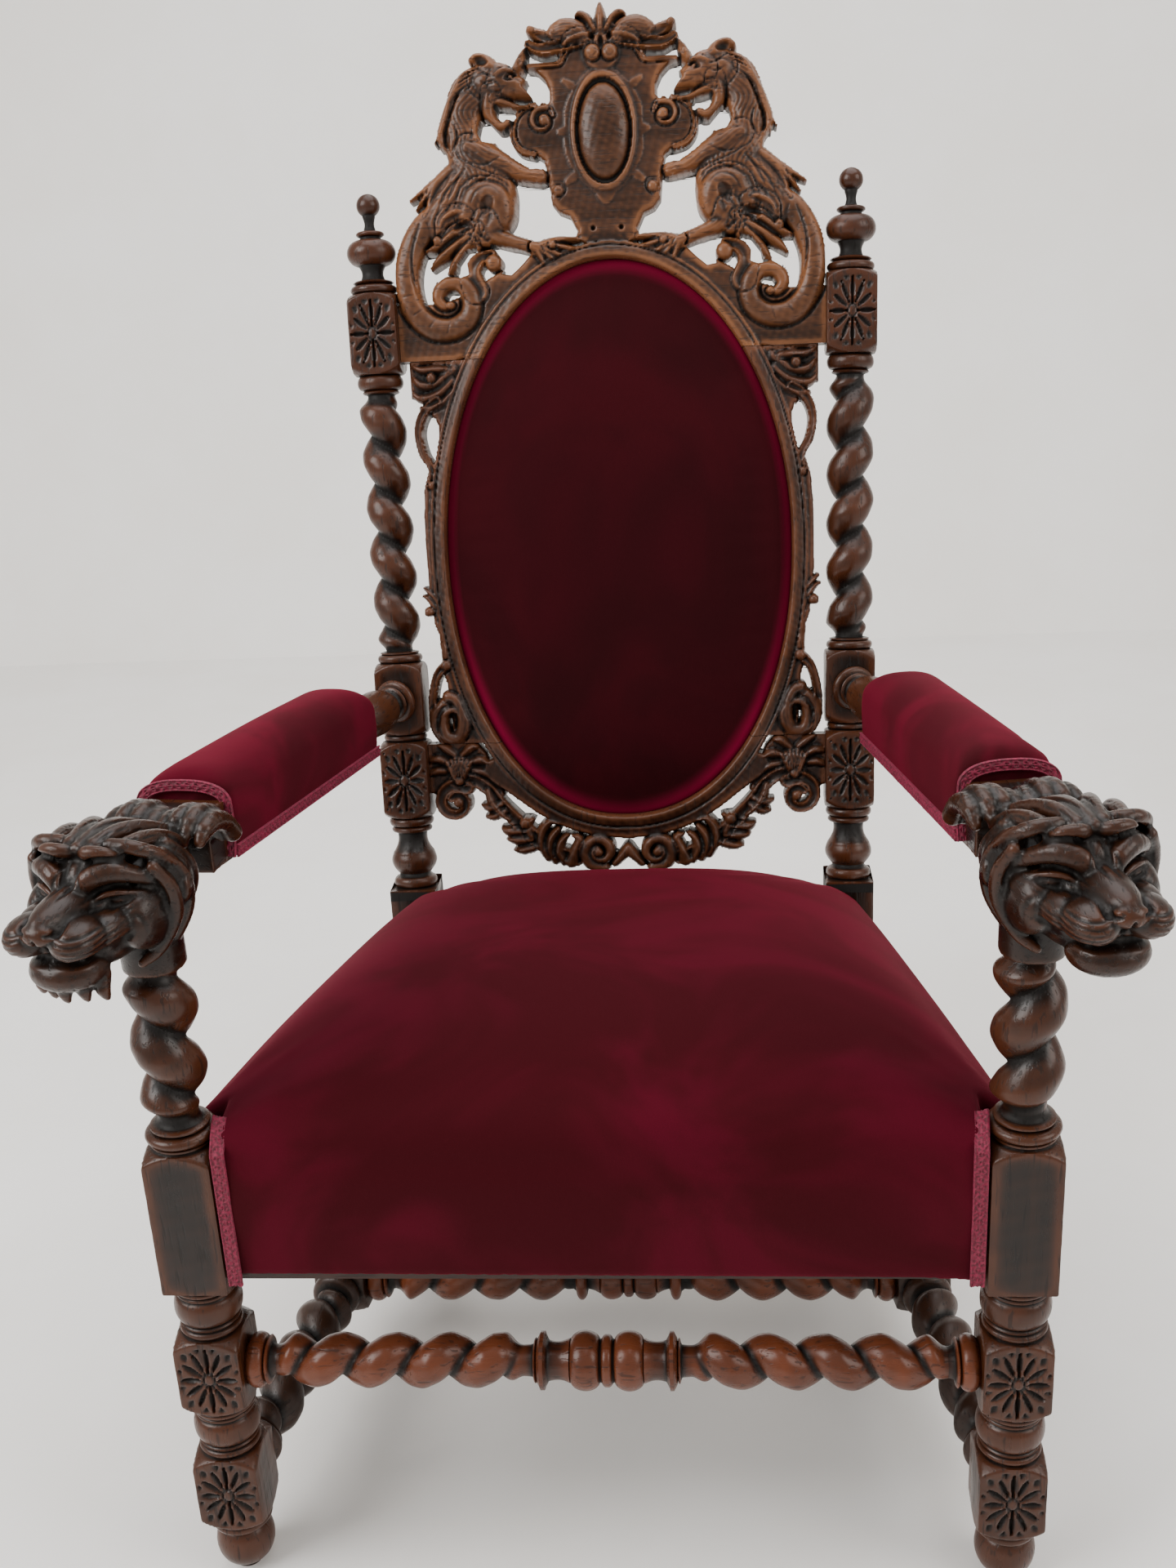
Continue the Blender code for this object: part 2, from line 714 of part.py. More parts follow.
def carve(bm, points, back, steps=4, mirror=1):
    """Sweep a domed section along a stroke; the ends close in a round."""
    path = smooth_path(points, steps)
    first = path[0]
    last = path[-1]
    stations = []
    for index, place in enumerate(path):
        ahead = path[min(index + 1, len(path) - 1)]
        behind = path[max(index - 1, 0)]
        direction = Vector((ahead[0] - behind[0], ahead[1] - behind[1]))
        stations.append((place, direction.normalized(), 1.0))
    lead = (first, stations[0][1], 0.0)
    tail = (last, stations[-1][1], 0.0)
    rings = []
    for end, sign in ((lead, -1), (tail, 1)):
        place, direction, _ = end
        caps = []
        for angle in (18, 55):
            reach = place[2] * cos(radians(angle)) * sign
            moved = Vector((place[0] + direction.x * reach, place[1] + direction.y * reach,
                            place[2] * sin(radians(angle)), place[3]))
            caps.append((moved, direction, sin(radians(angle))))
        if sign < 0:
            stations = caps + stations
        else:
            stations = stations + list(reversed(caps))
    for place, direction, share in stations:
        side = Vector((-direction.y, direction.x))
        width = max(place[2], 0.6)
        height = place[3] * (0.55 + 0.45 * share)
        rim = min(height * 0.55, board_front * 1000 * 0.6)
        section_points = []
        for across, depth in ((-1, -back), (-1, rim), (-0.72, rim + (height - rim) * 0.62), (0, height),
                              (0.72, rim + (height - rim) * 0.62), (1, rim), (1, -back)):
            x = (place[0] + side.x * width * across) * mirror
            t = place[1] + side.y * width * across
            section_points.append(drawing_point(x, t, depth))
        rings.append(section_points)
    skin(bm, rings)


def drawing_point(x, t, depth):
    """A drawing point in the back plane: right, backwards and up."""
    return Vector((x * drawing_scale, -depth / 1000, t / 1000))


def boss(bm, x, t, half_x, half_t, height, back, mirror=1):
    """A domed boss of oval outline."""
    rings = []
    for share, rise in ((1.0, -back), (1.0, height * 0.45), (0.8, height * 0.8), (0.4, height)):
        rings.append([drawing_point((x + half_x * share * cos(TURN * k / 12)) * mirror,
                                    t + half_t * share * sin(TURN * k / 12), rise) for k in range(12)])
    skin(bm, rings)


def moulding(bm, low_angle, high_angle, back):
    """The oval moulding between two angles, as a run of short pieces."""
    count = 40
    inner = -MOULDING_LAP
    rings = []
    for step in range(count + 1):
        angle = low_angle + (high_angle - low_angle) * step / count
        section_points = []
        for offset, depth in ((inner, -back), (inner, 0.008), (inner + 0.006, moulding_height),
                              (moulding_width * 0.7, moulding_height * 0.8), (moulding_width, 0.010),
                              (moulding_width, -back)):
            x, t = oval_point(angle, offset)
            section_points.append(Vector((x, -depth, t)))
        rings.append(section_points)
    skin(bm, rings)


def carved(name, bm, budget, low, high):
    """Fuse the strokes, thin the faces to the budget and cut the ends flat."""
    part = oak(name, bm, back_frame)
    fuse = part.modifiers.new("fuse", "REMESH")
    fuse.mode = "VOXEL"
    fuse.voxel_size = VOXEL
    soften = part.modifiers.new("soften", "SMOOTH")
    soften.iterations = 2
    soften.factor = 0.5
    graph = bpy.context.evaluated_depsgraph_get()
    faces = len(part.evaluated_get(graph).data.loop_triangles) or 1
    thin = part.modifiers.new("thin", "DECIMATE")
    thin.ratio = min(1.0, budget / faces)
    cutter_bm = bmesh.new()
    bmesh.ops.create_cube(cutter_bm, size=1.0)
    for vert in cutter_bm.verts:
        t = low if vert.co.z < 0 else high
        side = rear_x + back_spread * t - rear_half - joint_gap
        vert.co = Vector((side * (1 if vert.co.x > 0 else -1), 0.09 * (1 if vert.co.y > 0 else -1), t))
    cutter = object_from(name + "_trim", cutter_bm, oak_colour, 0.5, back_frame, False)
    cutter.hide_render = True
    cutter.display_type = "WIRE"
    trim = part.modifiers.new("trim", "BOOLEAN")
    trim.operation = "INTERSECT"
    trim.solver = "EXACT"
    trim.object = cutter
    opening = part.modifiers.new("opening", "BOOLEAN")
    opening.operation = "DIFFERENCE"
    opening.solver = "EXACT"
    opening.object = opening_guide
    return part


# The crest's drawing, right half: (across, up, half width, height)
CREST_STROKES = [
    [(188, 640, 34, 14), (250, 634, 32, 14)],
    [(150, 668, 14, 13), (185, 655, 26, 15), (205, 640, 20, 14)],
    [(205, 752, 8, 12), (215, 722, 12, 20), (221, 688, 12, 22), (217, 660, 12, 22), (196, 640, 12, 22),
     (170, 638, 12, 22), (158, 655, 10, 22), (168, 670, 9, 22), (180, 662, 7, 22)],
    [(112, 893, 20, 24), (140, 888, 20, 24), (158, 862, 15, 22), (152, 836, 18, 23), (132, 812, 24, 25),
     (122, 785, 23, 26), (126, 760, 27, 30), (128, 742, 20, 28)],
    [(112, 897, 21, 26), (92, 880, 14, 22), (74, 868, 6, 16)],
    [(112, 884, 16, 22), (116, 866, 9, 20), (108, 850, 6, 18)],
    [(126, 905, 9, 20), (132, 914, 5, 16)],
    [(92, 905, 8, 20), (86, 916, 5, 16)],
    [(170, 862, 10, 16), (176, 838, 10, 16), (186, 828, 5, 12)],
    [(150, 812, 17, 18), (180, 793, 14, 20), (206, 772, 8, 16), (214, 762, 4, 12)],
    [(118, 806, 16, 22), (95, 796, 11, 20), (70, 788, 9, 18)],
    [(128, 752, 19, 28), (112, 728, 12, 22), (90, 716, 11, 20), (62, 712, 13, 20), (48, 708, 9, 18)],
    [(140, 740, 12, 18), (158, 722, 9, 16), (186, 712, 10, 16), (206, 706, 12, 18)],
    [(150, 775, 16, 15), (178, 752, 14, 14), (198, 735, 12, 14)],
    [(104, 694, 8, 14), (126, 702, 11, 17), (148, 696, 9, 14)],
    [(0, 752, 26, 17), (0, 790, 55, 18), (0, 835, 60, 20), (0, 880, 56, 19), (0, 898, 46, 17)],
    [(0, 722, 34, 16), (0, 760, 36, 17)],
    [(50, 895, 10, 18), (64, 899, 6, 16), (70, 901, 3, 14)],
    [(56, 858, 12, 20), (78, 842, 18, 22), (84, 826, 14, 20), (70, 814, 8, 18)],
    [(0, 912, 26, 20), (0, 926, 22, 18)],
    [(0, 925, 14, 20), (0, 946, 12, 18), (0, 956, 6, 14)],
    [(8, 922, 12, 19), (22, 940, 10, 18), (28, 950, 5, 14)],
    [(16, 920, 12, 18), (38, 930, 9, 17), (48, 938, 5, 14)],
    [(28, 918, 10, 18), (56, 922, 10, 18), (76, 928, 7, 16), (78, 920, 5, 14)],
]
STILE_STROKES = [
    [(196, 598, 15, 16), (205, 580, 14, 17), (203, 556, 11, 15), (209, 538, 9, 14), (209, 512, 9, 14),
     (205, 480, 9, 14), (209, 450, 9, 15), (212, 420, 8, 15)],
    [(212, 420, 8, 15), (212, 360, 8, 15), (207, 312, 9, 15), (203, 285, 10, 16), (205, 262, 9, 15),
     (210, 236, 9, 15), (211, 212, 10, 16), (207, 184, 10, 16), (200, 168, 12, 16)],
    [(200, 330, 10, 15), (214, 346, 6, 13)],
    [(190, 258, 10, 15), (196, 232, 10, 16), (190, 205, 12, 17), (190, 180, 14, 17)],
]
RAIL_STROKES = [
    [(192, 146, 17, 18), (214, 140, 18, 15), (250, 136, 44, 13)],
    [(200, 172, 12, 16), (192, 146, 16, 18), (196, 122, 15, 17), (208, 104, 10, 18), (196, 88, 9, 18),
     (184, 100, 9, 18)],
    [(182, 120, 8, 16), (162, 112, 9, 16), (150, 98, 9, 16), (160, 84, 8, 15)],
    [(165, 92, 8, 14), (142, 78, 9, 15), (118, 56, 12, 16), (96, 42, 12, 16)],
    [(120, 74, 9, 14), (95, 56, 18, 17), (80, 40, 15, 17)],
    [(78, 50, 14, 16), (58, 42, 14, 18), (36, 42, 20, 20), (16, 46, 18, 18), (0, 48, 16, 17)],
    [(60, 62, 6, 14), (36, 64, 8, 14), (0, 64, 8, 14)],
]


def oval_angle(height, offset):
    """The angle at which the oval reaches a height on the right-hand side."""
    share = (height - oval_centre) / (oval_half_height + offset)
    power = oval_squareness if share < 0 else 2.0
    rise = abs(share) ** (power / 2)
    angle = atan2(rise, sqrt(max(1 - rise * rise, 0)))
    return angle if share > 0 else -angle


def crest_point(point):
    """Stand the crest's drawing on the oval and stretch it to the crest's own top."""
    foot_level = oval_centre + oval_half_height
    share = (crest_joint + crest_height - foot_level) / (DRAWING_TOP - DRAWING_FOOT)
    level = 1000 * foot_level + (point[1] - 1000 * DRAWING_FOOT) * share
    return (point[0], level, point[2] * max(share, 1), point[3])


def crest_rail():
    """The pierced crest: oval moulding, two beasts, a shield and a palmette."""
    bm = bmesh.new()
    back = board_back * 1000
    start = oval_angle(crest_joint - moulding_overrun, moulding_width)
    moulding(bm, start, pi - start, board_back)
    for stroke in CREST_STROKES:
        for mirror in (1, -1):
            carve(bm, [crest_point(point) for point in stroke], back, mirror=mirror)
    boss(bm, 0, crest_point((0, 833, 0, 0))[1], 28, 52, 27, back)
    carved("crest_rail", bm, 1050, crest_joint + joint_gap, crest_joint + crest_height + trim_spare)


def back_stile(side):
    """One side of the pierced frame, between the crest and the bottom rail."""
    label = "right" if side > 0 else "left"
    bm = bmesh.new()
    low = oval_angle(rail_joint - moulding_overrun, moulding_width)
    high = oval_angle(crest_joint + moulding_overrun, moulding_width)
    if side > 0:
        moulding(bm, low, high, board_back)
    else:
        moulding(bm, pi - high, pi - low, board_back)
    for stroke in STILE_STROKES:
        carve(bm, stroke, board_back * 1000, mirror=side)
    carved("back_stile_" + label, bm, 260, rail_joint + joint_gap, crest_joint - joint_gap)


def bottom_rail():
    """The pierced bottom rail: scrolls and leaves under the oval."""
    bm = bmesh.new()
    start = oval_angle(rail_joint + moulding_overrun, moulding_width)
    moulding(bm, -pi - start, start, board_back)
    for stroke in RAIL_STROKES:
        for mirror in (1, -1):
            carve(bm, stroke, board_back * 1000, mirror=mirror)
    carved("back_bottom_rail", bm, 480, rail_joint - bottom_rail_height, rail_joint - joint_gap)


# Arms. The arm runs from the rear post's arm block to the lion's neck.
arm_fall = 0.121
arm_lean = 0.112


def arm_spine(side, arm_level):
    """Points down the middle of the arm, from the rear post forwards."""
    post_place = side * (rear_x + back_spread * arm_level)
    rear = back_matrix @ Vector((post_place, -rear_half - joint_gap, arm_level))

    def on_arm(depth):
        x = front_x - arm_lean * (depth - arm_pad_front)
        z = arm_front_height - arm_fall * (depth - arm_pad_front)
        return Vector((side * x, depth, z))
    return rear, on_arm


def section(centre, axis, half_width, half_height, squareness):
    """Eight points round the arm: a circle, a rectangle or between."""
    across = axis.cross(Vector((0, 0, 1))).normalized()
    up = across.cross(axis).normalized()
    points = []
    for index in range(SIDES):
        c = cos(TURN * index / SIDES)
        s = sin(TURN * index / SIDES)
        c = 0 if abs(c) < 1e-6 else c
        s = 0 if abs(s) < 1e-6 else s
        x = half_width * (abs(c) ** squareness) * (1 if c > 0 else -1) if c else 0
        z = half_height * (abs(s) ** squareness) * (1 if s > 0 else -1) if s else 0
        points.append(centre + across * x + up * z)
    return points


def lump(bm, place, size, frame):
    """An egg-shaped lump of the carving, in the head's own frame."""
    matrix = frame @ Matrix.Translation(place) @ Matrix.Diagonal((*size, 1))
    bmesh.ops.create_icosphere(bm, subdivisions=3, radius=1.0, matrix=matrix)


# The lion's head as lumps: place and half sizes as shares of its own length,
# across, forwards and up from the middle of the skull. Paired lumps have x > 0.
LION_LUMPS = [
    ((0, 0.00, 0.00), (0.34, 0.36, 0.33)),
    ((0, -0.42, -0.02), (0.25, 0.34, 0.19)),
    ((0, 0.30, 0.00), (0.18, 0.30, 0.13)),
    ((0.13, 0.44, -0.11), (0.15, 0.17, 0.12)),
    ((0, 0.55, -0.02), (0.10, 0.08, 0.07)),
    ((0.06, 0.30, -0.30), (0.16, 0.26, 0.10)),
    ((0.19, 0.20, 0.17), (0.15, 0.10, 0.08)),
    ((0.27, 0.02, -0.12), (0.12, 0.22, 0.20)),
    ((0.15, 0.02, 0.27), (0.16, 0.15, 0.09)),
    ((0.33, -0.12, 0.04), (0.09, 0.14, 0.16)),
    ((0.19, -0.46, 0.18), (0.16, 0.16, 0.12)),
    ((0.25, -0.24, -0.12), (0.14, 0.20, 0.14)),
]


def lion_head(side, label, neck):
    """The lion's head, fused from its lumps, turned a little outwards."""
    turn = Matrix.Rotation(-side * head_turn, 4, "Z") @ Matrix.Rotation(pi, 4, "Z")
    centre = Vector((side * (front_x + head_outset + 0.012),
                     neck.y - 0.66 * head_length, arm_front_height + 0.004))
    frame = Matrix.Translation(centre) @ turn
    bm = bmesh.new()
    for place, size in LION_LUMPS:
        for mirror in ((1, -1) if place[0] else (1,)):
            spot = Vector((place[0] * mirror, place[1], place[2])) * head_length
            lump(bm, spot, Vector(size) * head_length, frame)
    boss_matrix = Matrix.Translation((side * front_x, 0, post_top + 0.030))
    bmesh.ops.create_cone(bm, cap_ends=True, segments=24, radius1=post_twist_radius * 0.9,
                          radius2=post_twist_radius * 0.9, depth=0.060, matrix=boss_matrix)
    head = object_from("lion_head_guide_" + label, bm, oak_colour, 0.5)
    fuse = head.modifiers.new("fuse", "REMESH")
    fuse.mode = "VOXEL"
    fuse.voxel_size = HEAD_VOXEL
    graph = bpy.context.evaluated_depsgraph_get()
    faces = len(head.evaluated_get(graph).data.loop_triangles) or 1
    thin = head.modifiers.new("thin", "DECIMATE")
    thin.ratio = min(1.0, 430 / faces)
    head.hide_render = True
    head.display_type = "WIRE"
    return head


def arm(side, arm_level):
    """Turned rear end, rail and lion's head, carved from one piece."""
    label = "right" if side > 0 else "left"
    rear, on_arm = arm_spine(side, arm_level)
    start = on_arm(arm_pad_rear + 0.006)
    axis = (start - rear).normalized()
    reach = (start - rear).length
    across = Vector((-1, 0, 0))
    up = (back_matrix.to_3x3() @ Vector((0, 0, 1))).normalized()
    radius = arm_bulb_radius
    rings = [[rear + across * radius * 0.8 * cos(TURN * k / SIDES)
              + up * radius * 0.8 * sin(TURN * k / SIDES) for k in range(SIDES)]]
    for share, size in ((0.10, 0.96), (0.18, 0.96), (0.24, 0.62), (0.34, 0.82), (0.52, 1.0),
                        (0.68, 0.78), (0.78, 0.60), (0.83, 0.92), (0.92, 0.92)):
        rings.append(section(rear + axis * reach * share, axis, radius * size, radius * size, 1.0))
    depths = [arm_pad_rear + 0.004, 0.40, 0.26, arm_board_front]
    for depth in depths:
        rings.append(section(on_arm(depth), Vector((side * arm_lean, -1, arm_fall)).normalized(),
                             arm_half_width, arm_half_height, 0.02))
    neck = on_arm(arm_board_front)
    rings.append(section(neck + Vector((side * 0.002, -0.022, 0.002)),
                         Vector((side * arm_lean, -1, 0)).normalized(), 0.031, 0.022, 0.6))
    part = oak("arm_" + label, skin(bmesh.new(), rings))
    head = lion_head(side, label, neck)
    join = part.modifiers.new("head", "BOOLEAN")
    join.operation = "UNION"
    join.object = head
    seat_bm = bmesh.new()
    depth = 0.08
    bmesh.ops.create_cone(seat_bm, cap_ends=True, segments=16, radius1=post_twist_radius * 1.25,
                          radius2=post_twist_radius * 1.25, depth=depth,
                          matrix=Matrix.Translation((side * front_x, 0, post_top + joint_gap - depth / 2)))
    seat = object_from("post_seat_guide_" + label, seat_bm, oak_colour, 0.5)
    seat.hide_render = True
    seat.display_type = "WIRE"
    cut = part.modifiers.new("post seat", "BOOLEAN")
    cut.operation = "DIFFERENCE"
    cut.object = seat


def arm_pad(side, arm_level):
    """A crowned pad that wraps down over both sides of the arm's rail."""
    label = "right" if side > 0 else "left"
    rear, on_arm = arm_spine(side, arm_level)
    outer = arm_half_width + arm_pad_wrap
    inner = arm_half_width + arm_pad_clearance
    roof = arm_half_height + arm_pad_clearance
    low = -arm_half_height + 0.002
    shoulder = arm_half_height + 0.004
    rings = []
    for depth, crown in ((arm_pad_front, 0.55), (arm_pad_front + 0.018, 0.95), (0.26, 1.0), (0.40, 1.0),
                         (arm_pad_rear - 0.018, 0.95), (arm_pad_rear, 0.55)):
        axis = Vector((side * arm_lean, -1, arm_fall)).normalized()
        across = axis.cross(Vector((0, 0, 1))).normalized()
        up = across.cross(axis).normalized()
        rise = arm_pad_crown * crown
        profile = [(-outer, low), (-outer, shoulder),
                   (-0.68 * outer, shoulder + 0.72 * rise), (0, shoulder + rise),
                   (0.68 * outer, shoulder + 0.72 * rise), (outer, shoulder), (outer, low),
                   (inner, low), (inner, roof), (-inner, roof), (-inner, low)]
        rings.append([on_arm(depth) + across * x + up * z for x, z in profile])
    velvet("arm_pad_" + label, skin(bmesh.new(), rings))


def stand_on_origin():
    """Bring the floor point under the middle of the box to the origin."""
    bpy.context.view_layer.update()
    graph = bpy.context.evaluated_depsgraph_get()
    depths = []
    for part in bpy.context.scene.objects:
        if part.type != "MESH" or part.hide_render:
            continue
        shape = part.evaluated_get(graph)
        depths += [(part.matrix_world @ vert.co).y for vert in shape.data.vertices]
    root.location.y = -(min(depths) + max(depths)) / 2


front_post(-1)
front_post(1)
rear_post(-1)
arm_level = rear_post(1)
front_stretcher()
side_stretcher(-1)
block_centre, block_frame = side_stretcher(1)
cross_stretcher(block_centre, block_frame)
seat_rails()
seat_pad()
back_pad()
opening_guide = oval_opening()
crest_rail()
back_stile(-1)
back_stile(1)
bottom_rail()
for side in (-1, 1):
    arm(side, arm_level)
    arm_pad(side, arm_level)
stand_on_origin()
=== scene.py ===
# %% [markdown]
# # A carved oak throne
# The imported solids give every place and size. This lesson lays the finished surfaces over
# them: turned and twisted posts, boards carved in relief, two lions, velvet, braid and wax.
# Everything is in metres, Z is up and the sitter faces -Y.

# %% Load the throne's frame
import json
import math
import time

import bpy
import numpy as np
from mathutils import Matrix, Vector


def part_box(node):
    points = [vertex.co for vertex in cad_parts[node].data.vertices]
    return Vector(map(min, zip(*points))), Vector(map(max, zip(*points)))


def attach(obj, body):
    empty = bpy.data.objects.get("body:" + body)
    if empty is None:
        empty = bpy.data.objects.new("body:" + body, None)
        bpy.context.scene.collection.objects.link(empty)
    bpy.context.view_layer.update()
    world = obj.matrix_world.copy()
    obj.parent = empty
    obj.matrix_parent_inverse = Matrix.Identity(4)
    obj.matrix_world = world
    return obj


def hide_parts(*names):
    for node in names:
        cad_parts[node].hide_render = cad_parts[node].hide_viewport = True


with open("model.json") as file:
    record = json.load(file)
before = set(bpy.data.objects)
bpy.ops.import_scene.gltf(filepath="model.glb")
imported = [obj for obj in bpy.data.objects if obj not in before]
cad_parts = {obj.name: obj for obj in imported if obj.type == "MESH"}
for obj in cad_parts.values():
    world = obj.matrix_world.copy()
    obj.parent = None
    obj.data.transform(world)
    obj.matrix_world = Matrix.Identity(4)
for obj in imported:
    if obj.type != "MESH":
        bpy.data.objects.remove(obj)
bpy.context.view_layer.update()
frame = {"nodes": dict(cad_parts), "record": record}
front_y = frame["record"]["mounts"][0]["pos_m"][1]
print("nodes", len(frame["nodes"]), "front posts' axis at y", round(front_y, 4))

# %% [markdown]
# The room is plain: a pale floor that runs to a pale wall, a large soft light high on the
# left, a weaker one on the right and a grey sky. The camera stands at standing height a
# little right of the middle, looks down by twenty degrees and leans slightly.

# %% Camera
camera_place = Vector((0.1113, front_y - 1.1348, 1.1718))
pitch = math.radians(20.334)
yaw = math.radians(-5.063)
roll = math.radians(-3.183)
forward = Vector((math.sin(yaw) * math.cos(pitch), math.cos(yaw) * math.cos(pitch), -math.sin(pitch)))
level = Vector((math.cos(yaw), -math.sin(yaw), 0))
lift = level.cross(forward)
across = level * math.cos(roll) + lift * math.sin(roll)
upward = lift * math.cos(roll) - level * math.sin(roll)
turn = Matrix((across, upward, -forward)).transposed()
bpy.ops.object.select_all(action="DESELECT")
bpy.ops.object.camera_add(location=camera_place, rotation=turn.to_euler())
camera = bpy.context.object
camera.data.lens = 37.5
camera.data.sensor_width = 36
bpy.context.scene.camera = camera
print("camera at", [round(value, 3) for value in camera_place])

# %% Soft lights and a grey sky


def soft_light(name, place, aim, width, height, power, colour):
    bpy.ops.object.light_add(type="AREA", location=place)
    lamp = bpy.context.object
    lamp.name = name
    lamp.data.shape = "RECTANGLE"
    lamp.data.size = width
    lamp.data.size_y = height
    lamp.data.energy = power
    lamp.data.color = colour
    lamp.rotation_euler = (Vector(aim) - Vector(place)).to_track_quat("-Z", "Y").to_euler()
    print(name, power, "watts")


soft_light("window_left", (-2.6, -1.6, 2.7), (0, 0, 0.6), 2.2, 2.2, 130, (1.0, 0.98, 0.96))
soft_light("window_right", (2.9, -1.2, 2.3), (0, 0, 0.6), 2.0, 2.0, 56, (1.0, 0.95, 0.9))
soft_light("ceiling", (0.2, 0.4, 3.2), (0, 0.1, 0), 2.6, 2.6, 70, (0.97, 0.98, 1.0))
world = bpy.data.worlds.new("grey sky")
world.use_nodes = True
world.node_tree.nodes["Background"].inputs["Color"].default_value = (0.87, 0.84, 0.8, 1)
world.node_tree.nodes["Background"].inputs["Strength"].default_value = 0.8
bpy.context.scene.world = world

# %% [markdown]
# A few helpers keep the later cells short: one picks a single object, two read and write all
# of a mesh's points at once, and one makes a node in a material with its values set.

# %% Helpers for meshes and nodes


def pick(piece):
    """Make this piece the only one selected, and the active one."""
    bpy.ops.object.select_all(action="DESELECT")
    piece.select_set(True)
    bpy.context.view_layer.objects.active = piece


def points_of(piece):
    points = np.empty(len(piece.data.vertices) * 3)
    piece.data.vertices.foreach_get("co", points)
    return points.reshape(-1, 3)


def set_points(piece, points):
    piece.data.vertices.foreach_set("co", np.asarray(points, dtype=np.float32).ravel())
    piece.data.update()


def mode(name):
    bpy.ops.object.mode_set(mode=name)


def edit(*steps):
    """Run edit-mode steps on everything in the active mesh."""
    mode("EDIT")
    bpy.ops.mesh.select_mode(type="VERT")
    bpy.ops.mesh.select_all(action="SELECT")
    for step in steps:
        step()
    mode("OBJECT")


def node(tree, kind, values=(), **settings):
    """A new node with its settings and some of its inputs set."""
    made = tree.nodes.new(kind)
    for name, value in settings.items():
        setattr(made, name, value)
    for name, value in dict(values).items():
        if isinstance(value, bpy.types.NodeSocket):
            tree.links.new(value, made.inputs[name])
        else:
            made.inputs[name].default_value = value
    return made


def blend_colours(tree, share, first, second, mode="MIX"):
    """Mix two colours; the result is the Color output."""
    mix = node(tree, "ShaderNodeMixRGB", {"Fac": share, "Color1": first, "Color2": second},
               blend_type=mode)
    return mix.outputs["Color"]


def ramp(tree, value, low, high):
    """A soft step from 0 at low to 1 at high."""
    step = node(tree, "ShaderNodeMapRange", {"Value": value, "From Min": low, "From Max": high})
    step.interpolation_type = "SMOOTHSTEP"
    return step.outputs["Result"]


def multiplied(tree, first, second, added=None, clamp=False):
    """The product of two values, with a third added when there is one."""
    kind = "MULTIPLY" if added is None else "MULTIPLY_ADD"
    values = {0: first, 1: second} if added is None else {0: first, 1: second, 2: added}
    return node(tree, "ShaderNodeMath", values, operation=kind, use_clamp=clamp).outputs[0]


def new_finish(name, **constants):
    """A material whose shader has these inputs set; also its tree, shader and place."""
    material = bpy.data.materials.new(name)
    material.use_nodes = True
    tree = material.node_tree
    shader = tree.nodes["Principled BSDF"]
    for key, value in constants.items():
        shader.inputs[key.replace("_", " ")].default_value = value
    print("finish", name)
    return material, tree, shader, node(tree, "ShaderNodeTexCoord").outputs["Object"]


def colour_and_bump(tree, shader, colour, height, strength, distance):
    tree.links.new(colour, shader.inputs["Base Color"])
    bump = node(tree, "ShaderNodeBump", {"Height": height, "Strength": strength, "Distance": distance})
    tree.links.new(bump.outputs["Normal"], shader.inputs["Normal"])


def stored(tree, name):
    """A number that the mesh stores on each point."""
    return node(tree, "ShaderNodeAttribute", attribute_name=name).outputs["Fac"]


def new_grid(name, across, up, size=1):
    """A flat grid with this many cells, ready to be given its shape."""
    bpy.ops.object.select_all(action="DESELECT")
    bpy.ops.mesh.primitive_grid_add(x_subdivisions=across, y_subdivisions=up, size=size)
    bpy.context.object.name = name
    return bpy.context.object


def delete_faces(piece, chosen, kind="FACE"):
    """Delete the chosen faces."""
    pick(piece)
    mode("EDIT")
    bpy.ops.mesh.select_mode(type="FACE")
    bpy.ops.mesh.select_all(action="DESELECT")
    mode("OBJECT")
    piece.data.polygons.foreach_set("select", chosen)
    mode("EDIT")
    bpy.ops.mesh.delete(type=kind)
    mode("OBJECT")


def face_outwards():
    edit(lambda: bpy.ops.mesh.normals_make_consistent(inside=False))


def between(points, index, share):
    """A place on the smooth curve through the points, a share of the way past one of them."""
    before, start = points[max(index - 1, 0)], points[index]
    end, after = points[index + 1], points[min(index + 2, len(points) - 1)]
    return 0.5 * (2 * start + (end - before) * share
                  + (2 * before - 5 * start + 4 * end - after) * share ** 2
                  + (3 * start - before - 3 * end + after) * share ** 3)


print("helpers ready")

# %% [markdown]
# Oak shows two things close up: long soft bands of grain and short dark pores that lie along
# it. Old wax adds slow mottling. All three are worked out in one node group, so that every
# oak finish on the throne can place it along its own grain.

# %% Node group: the figure of oak


def new_group(name, inputs, outputs):
    """An empty shader node group with named sockets."""
    group = bpy.data.node_groups.new(name, "ShaderNodeTree")
    for label, kind in inputs:
        group.interface.new_socket(label, in_out="INPUT", socket_type=kind)
    for label, kind in outputs:
        group.interface.new_socket(label, in_out="OUTPUT", socket_type=kind)
    return group, group.nodes.new("NodeGroupInput"), group.nodes.new("NodeGroupOutput")


oak_figure, given, result = new_group(
    "oak figure", [("Along", "NodeSocketVector"), ("Place", "NodeSocketVector")],
    [("Grain", "NodeSocketFloat"), ("Pores", "NodeSocketFloat"), ("Patina", "NodeSocketFloat")])
bands = node(oak_figure, "ShaderNodeTexNoise", {"Vector": given.outputs["Along"], "Scale": 55.0,
                                                "Detail": 6.0, "Roughness": 0.62, "Distortion": 0.5})
flecks = node(oak_figure, "ShaderNodeTexNoise",
              {"Vector": given.outputs["Along"], "Scale": 330.0, "Detail": 2.0, "Roughness": 0.5})
mottle = node(oak_figure, "ShaderNodeTexNoise",
              {"Vector": given.outputs["Place"], "Scale": 16.0, "Detail": 4.0, "Roughness": 0.6})
oak_figure.links.new(ramp(oak_figure, bands.outputs["Fac"], 0.32, 0.68), result.inputs["Grain"])
